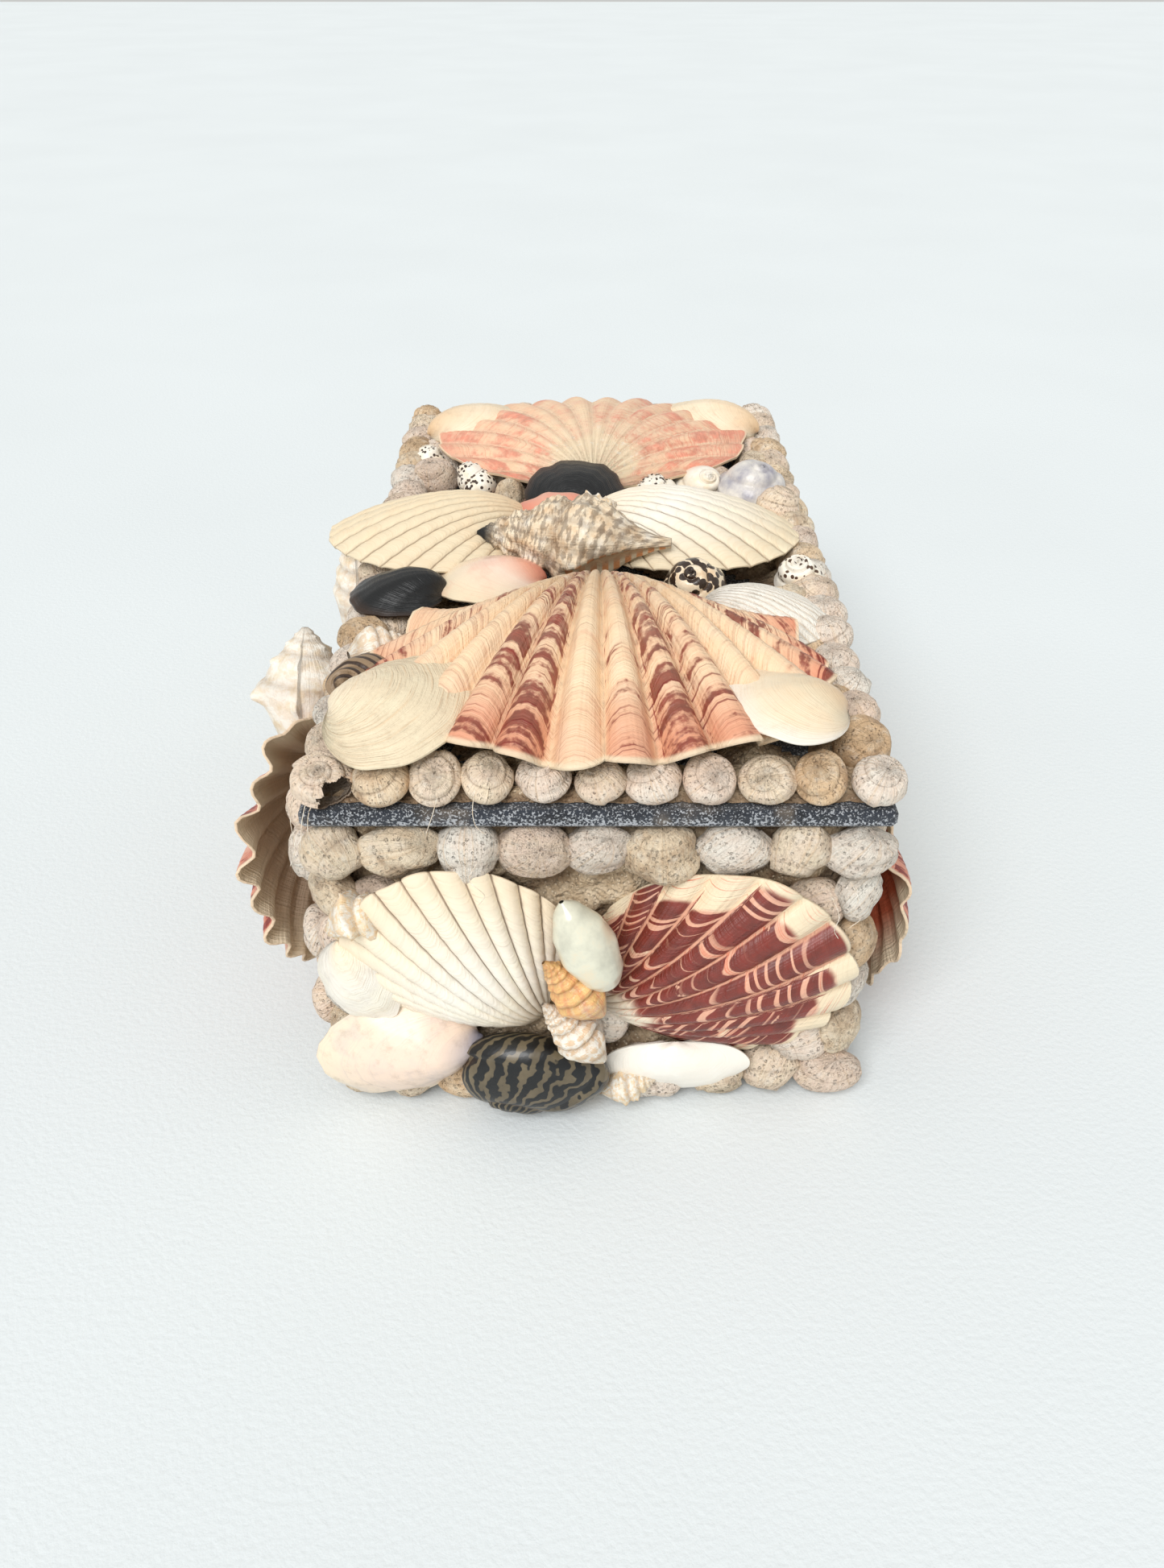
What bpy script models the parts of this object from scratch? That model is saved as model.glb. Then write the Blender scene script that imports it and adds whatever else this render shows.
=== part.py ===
"""A keepsake box crusted with sea shells: a hollow box, its lift-off lid, and the shells glued to both.

Metres, +Z up. The origin is the middle of the underside, +Y runs along the box towards its back.
"""
import math

import bmesh
import bpy
from mathutils import Matrix, Vector

# The box and its lid
BOX_LENGTH = 0.211
BOX_WIDTH = 0.102
BOX_HEIGHT = 0.0767
WALL = 0.004
FLOOR = 0.004
LID_OVERHANG = 0.0082
LID_THICKNESS = 0.004
LID_EDGE_ROUND = 0.0009
LID_PANEL_DEPTH = 0.003
LID_PANEL_FIT = 0.0006

# The glue line between two pieces that touch
GAP = 0.0003
BEDDING = 0.0004
FOOT_CLEARANCE = 0.0006

# What counts as one point, in metres, and as one flat face, in degrees, after a cut
MERGE = 0.0001
FLAT = 2.0

# The small snail shells that stand in rows along every edge
SNAIL_PITCH = 0.0114
SNAIL_WIDTH = 0.0122
LID_SNAIL_DEPTH = 0.0092
WALL_SNAIL_DEPTH = 0.0092
LID_SNAIL_PROUD = 0.0012

LID_TOP = BOX_HEIGHT + GAP + LID_THICKNESS
LID_LENGTH = BOX_LENGTH + 2 * LID_OVERHANG
LID_WIDTH = BOX_WIDTH + 2 * LID_OVERHANG
HALF_LID_LENGTH = LID_LENGTH / 2
HALF_LID_WIDTH = LID_WIDTH / 2
HALF_LENGTH = BOX_LENGTH / 2
HALF_WIDTH = BOX_WIDTH / 2

# The larger shells are picked to suit the box: their sizes and places are in parts of its width
PART = BOX_WIDTH / 102

COLOURS = {
    "board": ((0.035, 0.045, 0.065), 0.7),
    "snail": ((0.62, 0.50, 0.38), 0.8),
    "scallop": ((0.78, 0.42, 0.29), 0.5),
    "cream": ((0.84, 0.74, 0.56), 0.45),
    "white": ((0.86, 0.82, 0.74), 0.4),
    "pink": ((0.86, 0.60, 0.48), 0.3),
    "black": ((0.03, 0.035, 0.045), 0.35),
    "speckled": ((0.42, 0.33, 0.26), 0.5),
}

laid = []


def clear_scene():
    for old in list(bpy.data.objects):
        bpy.data.objects.remove(old, do_unlink=True)
    laid.clear()


def finish_of(name):
    """The plain material of that name, made when it is first asked for."""
    found = bpy.data.materials.get(name)
    if found:
        return found
    colour, roughness = COLOURS[name]
    made = bpy.data.materials.new(name)
    made.use_nodes = True
    shader = made.node_tree.nodes["Principled BSDF"]
    shader.inputs["Base Color"].default_value = (*colour, 1.0)
    shader.inputs["Roughness"].default_value = roughness
    shader.inputs["Metallic"].default_value = 0.0
    return made


def object_from(bm, name, finish):
    """A linked object that takes over the bmesh, with its faces pointing out."""
    bmesh.ops.triangulate(bm, faces=bm.faces[:])
    bmesh.ops.recalc_face_normals(bm, faces=bm.faces[:])
    mesh = bpy.data.meshes.new(name)
    bm.to_mesh(mesh)
    bm.free()
    mesh.materials.append(finish_of(finish))
    made = bpy.data.objects.new(name, mesh)
    bpy.context.scene.collection.objects.link(made)
    return made


# Faces that shells are laid on. Each has its own across, up and outward directions.
def frame(origin, across, up):
    across, up = Vector(across), Vector(up)
    turned = Matrix((across, up, across.cross(up))).transposed().to_4x4()
    return Matrix.Translation(origin) @ turned


LID_FACE = frame((0, 0, LID_TOP), (1, 0, 0), (0, 1, 0))
FRONT_FACE = frame((0, -HALF_LENGTH, 0), (1, 0, 0), (0, 0, 1))
BACK_FACE = frame((0, HALF_LENGTH, 0), (-1, 0, 0), (0, 0, 1))
LEFT_FACE = frame((-HALF_WIDTH, 0, 0), (0, -1, 0), (0, 0, 1))
RIGHT_FACE = frame((HALF_WIDTH, 0, 0), (0, 1, 0), (0, 0, 1))


def seat(face, across, up, spin=0.0, lean=0.0, roll=0.0, lift=0.0):
    """Where a shell sits: its hinge at (across, up), lifted off the face, in parts of the box's width.

    spin turns it on the face, lean raises its far end and roll its side, in degrees.
    """
    return (
        face
        @ Matrix.Translation((across * PART, up * PART, lift * PART + GAP))
        @ Matrix.Rotation(math.radians(spin), 4, "Z")
        @ Matrix.Rotation(-math.radians(lean), 4, "X")
        @ Matrix.Rotation(math.radians(roll), 4, "Y")
    )


def lean_over(height, reach):
    """The lean, in degrees, that lifts a shell's edge by height at that reach from its hinge."""
    return math.degrees(math.asin(min(0.9, height / reach)))


def grown(bm, by):
    """Moves every face of the bmesh outwards, to make a cutter with a glue line around it."""
    bmesh.ops.recalc_face_normals(bm, faces=bm.faces[:])
    bm.normal_update()
    moves = [v.normal * by * min(v.calc_shell_factor(), 2.0) for v in bm.verts]
    for v, move in zip(bm.verts, moves):
        v.co += move
    return bm


def main_body(mesh):
    """Deletes every loose crumb that a cut left beside the main body, and joins its flat faces again."""
    bm = bmesh.new()
    bm.from_mesh(mesh)
    left, islands = set(bm.verts), []
    while left:
        island, edge = set(), [left.pop()]
        while edge:
            vert = edge.pop()
            island.add(vert)
            for other in (e.other_vert(vert) for e in vert.link_edges):
                if other in left:
                    left.remove(other)
                    edge.append(other)
        islands.append(island)
    islands.sort(key=len)
    crumbs = [v for island in islands[:-1] for v in island]
    bmesh.ops.delete(bm, geom=crumbs, context="VERTS")
    bmesh.ops.remove_doubles(bm, verts=bm.verts[:], dist=MERGE)
    bmesh.ops.dissolve_limit(bm, angle_limit=math.radians(FLAT), verts=bm.verts[:], edges=bm.edges[:])
    bmesh.ops.triangulate(bm, faces=bm.faces[:])
    bm.to_mesh(mesh)
    bm.free()


def box_of(mesh):
    corners = [v.co for v in mesh.vertices]
    low = Vector(min(c[i] for c in corners) for i in range(3))
    high = Vector(max(c[i] for c in corners) for i in range(3))
    return low, high


def boxes_meet(a, b):
    return all(a[0][i] < b[1][i] and b[0][i] < a[1][i] for i in range(3))


def lay(name, finish, solid, bed, place):
    """Lays one shell, hollowed where it sits on those laid before it. bed is the cutter it leaves for later ones."""
    solid.transform(place)
    made = object_from(solid, name, finish)
    bed.transform(place)
    cutter = object_from(bed, name + "_bed", finish)
    bpy.context.scene.collection.objects.unlink(cutter)
    reach = box_of(made.data)
    under = [lower for lower in laid if boxes_meet(reach, box_of(lower.data))]
    for number, lower in enumerate(under):
        bpy.context.scene.collection.objects.link(lower)
        cut = made.modifiers.new(f"bed {number}", "BOOLEAN")
        cut.operation = "DIFFERENCE"
        cut.solver = "EXACT"
        cut.object = lower
    if under:
        seen = bpy.context.evaluated_depsgraph_get()
        shaped = bpy.data.meshes.new_from_object(made.evaluated_get(seen))
        made.modifiers.clear()
        main_body(shaped)
        made.data = shaped
    for lower in under:
        bpy.context.scene.collection.objects.unlink(lower)
    laid.append(cutter)
    return made


# One valve of a clam, cockle or scallop. It grows out of its hinge along a logarithmic spiral.
GROWTH_STAGES = (1.0, 0.80, 0.52, 0.20)
FIRST_RAY = 10.0
SMOOTH_RAYS = 8


def valve(width, length, flatness, fullness=1.0, ribs=0, rib_height=0.0, foot=0.0, rays=SMOOTH_RAYS, around=0.0):
    """The closed solid of one valve: hinge at the origin, edge towards -Y, outside towards +Z.

    flatness is the spiral's rate, 1.4 for a deep cockle and 2.4 for a flat clam. fullness under 1 squares the
    shoulders and over 1 narrows them to a fan. foot is how far the bedding under the shell reaches down. around
    is a margin by which a cutter stands off the shell on every side.
    """
    rays = 2 * ribs if ribs else rays
    width, length = width + 2 * around, length + 2 * around
    reach = max(abs(math.cos(math.radians(a)) * math.sin(math.radians(a)) ** fullness) for a in range(1, 90))
    edge = []
    for ray in range(rays + 1):
        angle = math.radians(FIRST_RAY + (180 - 2 * FIRST_RAY) * ray / rays)
        radius = math.sin(angle) ** fullness
        side = math.cos(angle) * radius * width / 2 / reach
        wave = rib_height * radius * (ray % 2)
        edge.append(Vector((side, -radius * math.sin(angle) * length, wave)))
    bm = bmesh.new()
    hinge = bm.verts.new((0, 0, 0))
    heel = bm.verts.new((0, 0, -2 * around)) if around else hinge
    sole = bm.verts.new((0, -length * 0.35, -foot - 2 * around))
    rings = []
    for size in GROWTH_STAGES:
        turn = Matrix.Rotation(math.log(size) / flatness, 3, "X")
        rings.append([bm.verts.new(turn @ point * size) for point in edge])
    rim = rings[0]
    if around:
        rim = [bm.verts.new(v.co - Vector((0, 0, 2 * around))) for v in rings[0]]
        top, bottom = [hinge, *rings[0], hinge], [heel, *rim, heel]
        for i in range(rays + 2):
            corners = [top[i], top[i + 1], bottom[i + 1], bottom[i]]
            bm.faces.new(corners)
    for outer, inner in zip(rings, rings[1:]):
        bm.faces.new((hinge, outer[0], inner[0]))
        bm.faces.new((hinge, inner[-1], outer[-1]))
        for i in range(rays):
            bm.faces.new((outer[i], outer[i + 1], inner[i + 1], inner[i]))
    for i in range(rays):
        bm.faces.new((rings[-1][i], rings[-1][i + 1], hinge))
        bm.faces.new((rim[i + 1], rim[i], sole))
    bm.faces.new((rim[0], heel, sole))
    bm.faces.new((heel, rim[-1], sole))
    bmesh.ops.translate(bm, verts=bm.verts[:], vec=(0, around, around))
    return bm


def lay_valve(name, finish, place, width, length, flatness, **form):
    """Lays a valve, and keeps a plain one that stands off it as the bed that later shells are cut by."""
    width, length = width * PART, length * PART
    form.update({key: form[key] * PART for key in ("foot", "rib_height") if key in form})
    solid = valve(width, length, flatness, **form)
    plain = {key: form[key] for key in ("fullness", "foot") if key in form}
    around = GAP + BEDDING + form.get("rib_height", 0.0) / 2
    bed = valve(width, length, flatness, rays=form.get("ribs", SMOOTH_RAYS), around=around, **plain)
    bmesh.ops.translate(bed, verts=bed.verts[:], vec=(0, 0, form.get("rib_height", 0.0) / 2))
    return lay(name, finish, solid, bed, place)


def whelk(length, girth, profile, sides=8, flattening=0.85):
    """A spired shell lying on its side: the tip at +Y, the canal at -Y.

    profile lists (share of length, share of girth) from the canal to the tip.
    """
    bm = bmesh.new()
    height = girth / 2 * flattening
    rings = []
    for along, wide in profile:
        ring = []
        for i in range(sides):
            angle = 2 * math.pi * (i + 0.5) / sides
            radius = girth / 2 * wide
            out = max(height + math.sin(angle) * radius, 0.0)
            ring.append(bm.verts.new((math.cos(angle) * radius, (along - 0.5) * length, out)))
        rings.append(ring)
    for first, second in zip(rings, rings[1:]):
        for i in range(sides):
            bm.faces.new((first[i], first[(i + 1) % sides], second[(i + 1) % sides], second[i]))
    bm.faces.new(rings[0])
    bm.faces.new(rings[-1])
    return bm


def lay_whelk(name, finish, place, length, girth, profile, sides=8):
    length, girth = length * PART, girth * PART
    bed = grown(whelk(length, girth, profile, sides), GAP + BEDDING)
    return lay(name, finish, whelk(length, girth, profile, sides), bed, place)


TRITON_PROFILE = (
    (0.0, 0.10),
    (0.16, 0.30),
    (0.42, 0.98),
    (0.58, 0.86),
    (0.66, 0.60),
    (0.78, 0.56),
    (0.86, 0.30),
    (1.0, 0.06),
)
WHELK_PROFILE = ((0.0, 0.18), (0.22, 0.72), (0.45, 1.0), (0.62, 0.72), (0.80, 0.46), (1.0, 0.08))
CONE_PROFILE = ((0.0, 0.12), (0.30, 0.60), (0.62, 1.0), (0.76, 0.66), (0.88, 0.40), (1.0, 0.06))


def pebble(width, length, height, sides=8):
    """A low round dome, for nerites, moon shells and top shells seen from above."""
    bm = bmesh.new()
    levels = ((0.0, 0.90), (0.32, 1.0), (0.78, 0.66))
    rings = []
    turns = [2 * math.pi * i / sides for i in range(sides)]
    for up, wide in levels:
        across, along = width / 2 * wide, length / 2 * wide
        rings.append([bm.verts.new((math.cos(t) * across, math.sin(t) * along, up * height)) for t in turns])
    top = bm.verts.new((0, 0, height))
    for first, second in zip(rings, rings[1:]):
        for i in range(sides):
            bm.faces.new((first[i], first[(i + 1) % sides], second[(i + 1) % sides], second[i]))
    for i in range(sides):
        bm.faces.new((rings[-1][i], rings[-1][(i + 1) % sides], top))
    bm.faces.new(rings[0])
    return bm


def lay_pebble(name, finish, place, width, length, height, sides=8):
    width, length, height = width * PART, length * PART, height * PART
    bed = grown(pebble(width, length, height, sides), GAP + BEDDING)
    return lay(name, finish, pebble(width, length, height, sides), bed, place)


# Rows of snails: one beaded strip, pinched where one snail meets the next
NECK_WIDTH = 0.66
NECK_DEPTH = 0.50


def strip(section, run, count, neck=(NECK_WIDTH, NECK_DEPTH)):
    """A strip along +X that swells once for each of count snails. section lists (across, out) points."""
    bm = bmesh.new()
    middle = sum(point[0] for point in section) / len(section)
    rings = []
    for step in range(2 * count + 1):
        wide, deep = (1.0, 1.0) if step % 2 else neck
        at = run * step / (2 * count)
        rings.append([bm.verts.new((at, middle + (a - middle) * wide, out * deep)) for a, out in section])
    corners = len(section)
    for first, second in zip(rings, rings[1:]):
        for i in range(corners):
            bm.faces.new((first[i], first[(i + 1) % corners], second[(i + 1) % corners], second[i]))
    bm.faces.new(rings[0])
    bm.faces.new(rings[-1])
    return bm


def snail_section(width, depth):
    return ((-0.5 * width, 0.0), (-0.33 * width, depth), (0.33 * width, depth), (0.5 * width, 0.0))


def lay_row(name, face, start, end, depth, width=SNAIL_WIDTH):
    """A row of snails on a face, from start to end, both (across, up)."""
    start, end = Vector((*start, GAP)), Vector((*end, GAP))
    run = (end - start).length
    count = max(1, round(run / SNAIL_PITCH))
    turn = math.atan2((end - start).y, (end - start).x)
    place = face @ Matrix.Translation(start) @ Matrix.Rotation(turn, 4, "Z")
    section = snail_section(width, depth)
    bed = grown(strip(section, run, 1, neck=(1.0, 1.0)), GAP + BEDDING)
    return lay(name, "snail", strip(section, run, count), bed, place)


def lay_corner(name, across_sign, along_sign):
    """A column of snails wrapped round a standing edge of the box, between the rows above and below it."""
    low = FOOT_CLEARANCE + SNAIL_WIDTH + GAP
    high = BOX_HEIGHT - SNAIL_WIDTH - 2 * GAP
    wrap, deep = SNAIL_WIDTH, WALL_SNAIL_DEPTH
    section = (
        (-GAP, -GAP),
        (wrap, -GAP),
        (0.75 * wrap, -deep),
        (-0.8 * deep, -0.8 * deep),
        (-deep, 0.75 * wrap),
        (-GAP, wrap),
    )
    count = max(1, round((high - low) / SNAIL_PITCH))
    forms = []
    for beads, neck in ((count, 0.72), (1, 1.0)):
        bm = bmesh.new()
        rings = []
        for step in range(2 * beads + 1):
            size = 1.0 if step % 2 else neck
            z = low + (high - low) * step / (2 * beads)
            ring = []
            for x, y in section:
                x = x if x >= -GAP else -GAP + (x + GAP) * size
                y = y if y >= -GAP else -GAP + (y + GAP) * size
                corner = (across_sign * (HALF_WIDTH - x), along_sign * (HALF_LENGTH - y), z)
                ring.append(bm.verts.new(corner))
            rings.append(ring)
        corners = len(section)
        for first, second in zip(rings, rings[1:]):
            for i in range(corners):
                bm.faces.new((first[i], first[(i + 1) % corners], second[(i + 1) % corners], second[i]))
        bm.faces.new(rings[0])
        bm.faces.new(rings[-1])
        forms.append(bm)
    return lay(name, "snail", forms[0], grown(forms[1], GAP + BEDDING), Matrix.Identity(4))


# The hollow box and the lid
def slab(bm, low, high):
    made = bmesh.ops.create_cube(bm, size=1.0)["verts"]
    size = Vector(high) - Vector(low)
    bmesh.ops.scale(bm, verts=made, vec=size)
    bmesh.ops.translate(bm, verts=made, vec=(Vector(low) + Vector(high)) / 2)
    return made


def face_towards(bm, direction):
    return max(bm.faces, key=lambda f: f.normal.dot(Vector(direction)))


def sink(bm, face, border, depth):
    """Insets a face by border and moves the middle inwards by depth, or outwards if depth is negative."""
    bmesh.ops.inset_region(bm, faces=[face], thickness=border, use_even_offset=True)
    bmesh.ops.translate(bm, verts=face.verts[:], vec=-face.normal * depth)


def make_box():
    bm = bmesh.new()
    slab(bm, (-HALF_WIDTH, -HALF_LENGTH, 0), (HALF_WIDTH, HALF_LENGTH, BOX_HEIGHT))
    bm.normal_update()
    top = face_towards(bm, (0, 0, 1))
    bmesh.ops.inset_region(bm, faces=[top], thickness=WALL, use_even_offset=True)
    pushed = bmesh.ops.extrude_face_region(bm, geom=[top])
    sunk = [v for v in pushed["geom"] if isinstance(v, bmesh.types.BMVert)]
    bmesh.ops.delete(bm, geom=[top], context="FACES_ONLY")
    bmesh.ops.translate(bm, verts=sunk, vec=(0, 0, FLOOR - BOX_HEIGHT))
    return object_from(bm, "box", "board")


def make_lid():
    under = BOX_HEIGHT + GAP
    bm = bmesh.new()
    slab(bm, (-HALF_LID_WIDTH, -HALF_LID_LENGTH, under), (HALF_LID_WIDTH, HALF_LID_LENGTH, LID_TOP))
    bmesh.ops.bevel(
        bm, geom=[e for e in bm.edges], offset=LID_EDGE_ROUND, segments=1, affect="EDGES", profile=0.5
    )
    bm.normal_update()
    base = min(bm.faces, key=lambda f: f.calc_center_median().z)
    border = LID_OVERHANG + WALL + LID_PANEL_FIT - LID_EDGE_ROUND
    bmesh.ops.inset_region(bm, faces=[base], thickness=border, use_even_offset=True)
    pushed = bmesh.ops.extrude_face_region(bm, geom=[base])
    panel = [v for v in pushed["geom"] if isinstance(v, bmesh.types.BMVert)]
    bmesh.ops.delete(bm, geom=[base], context="FACES_ONLY")
    bmesh.ops.translate(bm, verts=panel, vec=(0, 0, -LID_PANEL_DEPTH))
    return object_from(bm, "lid", "board")


# The shells on the lid, in the order in which they were glued on
def dress_lid():
    side = HALF_LID_WIDTH + LID_SNAIL_PROUD
    end = HALF_LID_LENGTH + LID_SNAIL_PROUD
    row_x = side - SNAIL_WIDTH / 2
    row_y = end - SNAIL_WIDTH / 2
    inner = row_y - SNAIL_WIDTH / 2 - GAP
    lay_row("lid_snails_front", LID_FACE, (-side, -row_y), (side, -row_y), LID_SNAIL_DEPTH)
    lay_row("lid_snails_back", LID_FACE, (-side, row_y), (side, row_y), LID_SNAIL_DEPTH)
    lay_row("lid_snails_left", LID_FACE, (-row_x, -inner), (-row_x, inner), LID_SNAIL_DEPTH)
    lay_row("lid_snails_right", LID_FACE, (row_x, -inner), (row_x, inner), LID_SNAIL_DEPTH)

    over = (LID_SNAIL_DEPTH + GAP + BEDDING) / PART
    right, back = HALF_LID_WIDTH / PART, HALF_LID_LENGTH / PART
    left, front = -right, -back
    fan = {"fullness": 1.3, "ribs": 14, "rib_height": 2.2, "foot": over}
    lay_valve(
        "lid_scallop_front", "scallop", seat(LID_FACE, 1, front + 74, lift=over),
        96, 74, 1.8, **fan,
    )
    lay_valve(
        "lid_scallop_back", "scallop", seat(LID_FACE, 0, back - 81, spin=180, lift=over),
        94, 75, 2.6, **fan,
    )
    lay_valve(
        "lid_black_shell_left", "black", seat(LID_FACE, left + 30, -31, spin=-72),
        23, 28, 1.5,
    )
    lay_valve(
        "lid_cockle_right", "white", seat(LID_FACE, right - 34, -39, spin=74, lift=7),
        28, 30, 1.5, ribs=8, rib_height=0.6, foot=7,
    )
    lay_pebble(
        "lid_spotted_shell_right", "speckled", seat(LID_FACE, right - 12.5, -16),
        12, 13, 11,
    )
    ark = {"fullness": 0.85, "ribs": 10, "rib_height": 1, "foot": 0.7 * over}
    lay_valve(
        "lid_ark_left", "cream", seat(LID_FACE, left + 43, 8, spin=-96, lean=4, lift=0.7 * over),
        50, 55, 1.6, **ark,
    )
    lay_valve(
        "lid_ark_right", "cream", seat(LID_FACE, right - 60, 13, spin=83, lean=2, lift=0.7 * over),
        52, 56, 1.6, **ark,
    )
    lay_pebble(
        "lid_moon_shell", "white", seat(LID_FACE, right - 13.5, 41),
        19, 21, 18,
    )
    lay_pebble(
        "lid_edge_shell_right", "snail", seat(LID_FACE, right - 8, 21, lift=6),
        11, 12, 11,
    )
    lay_pebble(
        "lid_white_shell_right", "white", seat(LID_FACE, right - 28, 45),
        14, 16, 13,
    )
    lay_valve(
        "lid_black_shell_centre", "black", seat(LID_FACE, -6, 15, spin=176, lean=24, lift=5),
        28, 26, 1.35, foot=5,
    )
    lay_valve(
        "lid_pink_shell_left", "pink", seat(LID_FACE, -15, -22, spin=-82, lift=8, lean=3),
        25, 29, 1.5, fullness=0.9, foot=8,
    )
    lay_whelk(
        "lid_triton", "speckled", seat(LID_FACE, -4, -18.5, spin=81, lift=8),
        52, 23, TRITON_PROFILE,
    )
    lay_valve(
        "lid_pink_shell_centre", "pink", seat(LID_FACE, -1, 3, spin=-88, lift=10, lean=4),
        13, 18, 1.4, foot=10,
    )
    lay_pebble(
        "lid_nerite", "speckled", seat(LID_FACE, 23.5, -30.5, spin=25),
        11.8, 16, 17,
    )
    lay_pebble(
        "lid_banded_shell_left", "speckled", seat(LID_FACE, left + 9, -73, spin=-30),
        16, 20, 14,
    )
    lay_whelk(
        "lid_white_whelk_left", "white", seat(LID_FACE, left + 10.5, -53, spin=-60, lift=2),
        16, 12, WHELK_PROFILE, sides=6,
    )
    lay_valve(
        "lid_clam_front_left", "cream", seat(LID_FACE, left + 7, front + 3, spin=132, lift=over, lean=3),
        36, 38, 1.8, fullness=0.8, foot=over,
    )
    lay_valve(
        "lid_clam_front_right", "cream", seat(LID_FACE, right - 6, front + 18, spin=-82, lift=over, lean=9),
        28, 35, 1.7, fullness=0.85, foot=over,
    )
    lay_valve(
        "lid_clam_back_left", "cream", seat(LID_FACE, left + 9, back - 36, spin=105, lift=over, lean=4),
        28, 32, 1.9, foot=over,
    )
    lay_valve(
        "lid_clam_back_right", "cream", seat(LID_FACE, right - 8, back - 33, spin=-110, lift=over, lean=4),
        28, 32, 1.9, foot=over,
    )


# The four walls of the box
def lay_wall_rows(wall, face, half):
    """The top row, right under the lid, and the bottom row of one wall."""
    top = BOX_HEIGHT - SNAIL_WIDTH / 2 - GAP
    bottom = FOOT_CLEARANCE + SNAIL_WIDTH / 2
    lay_row(f"{wall}_snails_top", face, (-half, top), (half, top), WALL_SNAIL_DEPTH)
    lay_row(f"{wall}_snails_bottom", face, (-half, bottom), (half, bottom), WALL_SNAIL_DEPTH)


def dress_walls():
    ends = HALF_WIDTH + WALL_SNAIL_DEPTH
    sides = HALF_LENGTH - GAP
    lay_wall_rows("front", FRONT_FACE, ends)
    lay_wall_rows("back", BACK_FACE, ends)
    lay_wall_rows("left", LEFT_FACE, sides)
    lay_wall_rows("right", RIGHT_FACE, sides)
    lay_corner("corner_snails_front_left", -1, -1)
    lay_corner("corner_snails_front_right", 1, -1)
    lay_corner("corner_snails_back_left", -1, 1)
    lay_corner("corner_snails_back_right", 1, 1)


def dress_front():
    over = (WALL_SNAIL_DEPTH + GAP + BEDDING) / PART
    wedge = 0.3 * over
    lay_valve(
        "front_ark_white", "white", seat(FRONT_FACE, -13, 23, spin=218, lean=lean_over(over, 46)),
        46, 53, 1.8, fullness=0.85, ribs=12, rib_height=1.2, foot=wedge,
    )
    lay_valve(
        "front_scallop_red", "scallop", seat(FRONT_FACE, 1, 27, spin=117, lean=lean_over(over, 50)),
        52, 57, 1.9, fullness=1.1, ribs=13, rib_height=1.4, foot=wedge,
    )
    lay_valve(
        "front_clam_left_mid", "cream", seat(FRONT_FACE, -54, 50, spin=18, lift=over),
        17, 24, 1.9, foot=over,
    )
    lay_valve(
        "front_clam_left_low", "white", seat(FRONT_FACE, -26, 20, spin=-80, lift=0.7 * over, lean=4),
        27, 37, 1.5, fullness=0.85, foot=0.7 * over,
    )
    lay_valve(
        "front_clam_white", "white", seat(FRONT_FACE, 17.5, 22, spin=2, lift=over, lean=-6),
        33, 15, 1.5, fullness=0.75, foot=over,
    )
    lay_pebble(
        "front_nerite_striped", "black", seat(FRONT_FACE, -13.5, 13.5, lift=0.5 * over),
        33, 22, 14,
    )
    lay_whelk(
        "front_whelk_banded", "cream", seat(FRONT_FACE, -5, 29, spin=38, lift=11),
        21, 11, WHELK_PROFILE, sides=6,
    )
    lay_whelk(
        "front_whelk_orange", "cream", seat(FRONT_FACE, -5, 42, spin=40, lift=11),
        19, 12, WHELK_PROFILE, sides=6,
    )
    lay_valve(
        "front_pale_shell", "white", seat(FRONT_FACE, -6.5, 65, spin=28, lift=11),
        13, 26, 1.4, fullness=0.8, foot=11,
    )


def dress_left():
    half = HALF_LENGTH / PART
    over = (WALL_SNAIL_DEPTH + GAP + BEDDING) / PART
    lean = lean_over(over, 48)
    flare = 23
    lay_valve(
        "left_scallop_front", "scallop",
        seat(LEFT_FACE, 0.47 * half, 47, spin=93, lean=lean_over(flare, 54), roll=-3),
        62, 56, 1.5, fullness=1.2, ribs=12, rib_height=1.8, foot=0.3 * flare,
    )
    lay_valve(
        "left_scallop_mid", "scallop", seat(LEFT_FACE, 0.17 * half, 14, spin=176, lean=lean),
        50, 52, 1.6, fullness=1.2, ribs=12, rib_height=1.6,
    )
    lay_valve(
        "left_ark_back", "white", seat(LEFT_FACE, -0.63 * half, 16, spin=186, lean=lean),
        48, 50, 1.6, fullness=0.85, ribs=10, rib_height=1,
    )
    lay_whelk(
        "left_conch", "cream", seat(LEFT_FACE, 0.34 * half, 64, spin=20, lift=over),
        44, 26, CONE_PROFILE,
    )
    lay_whelk(
        "left_pointed_shell", "white", seat(LEFT_FACE, -0.27 * half, 56, spin=0, lift=over),
        54, 17, CONE_PROFILE,
    )


def dress_right():
    half = HALF_LENGTH / PART
    over = (WALL_SNAIL_DEPTH + GAP + BEDDING) / PART
    lean = lean_over(over, 48)
    flare = 16
    lay_valve(
        "right_scallop_front", "scallop",
        seat(RIGHT_FACE, -0.45 * half, 37, spin=-88, lean=lean_over(flare, 52)),
        55, 54, 1.7, fullness=1.2, ribs=12, rib_height=1.8, foot=0.3 * flare,
    )
    lay_valve(
        "right_clam_upper", "cream", seat(RIGHT_FACE, -0.34 * half, 46, spin=178, lift=0.8 * over),
        30, 27, 1.6, fullness=0.9, foot=0.8 * over,
    )
    lay_valve(
        "right_ark_mid", "white", seat(RIGHT_FACE, 0.09 * half, 18, spin=176, lean=lean),
        46, 48, 1.6, fullness=0.85, ribs=10, rib_height=1,
    )
    lay_valve(
        "right_scallop_back", "scallop", seat(RIGHT_FACE, 0.61 * half, 16, spin=182, lean=lean),
        54, 52, 1.6, fullness=1.2, ribs=12, rib_height=1.6,
    )


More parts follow.
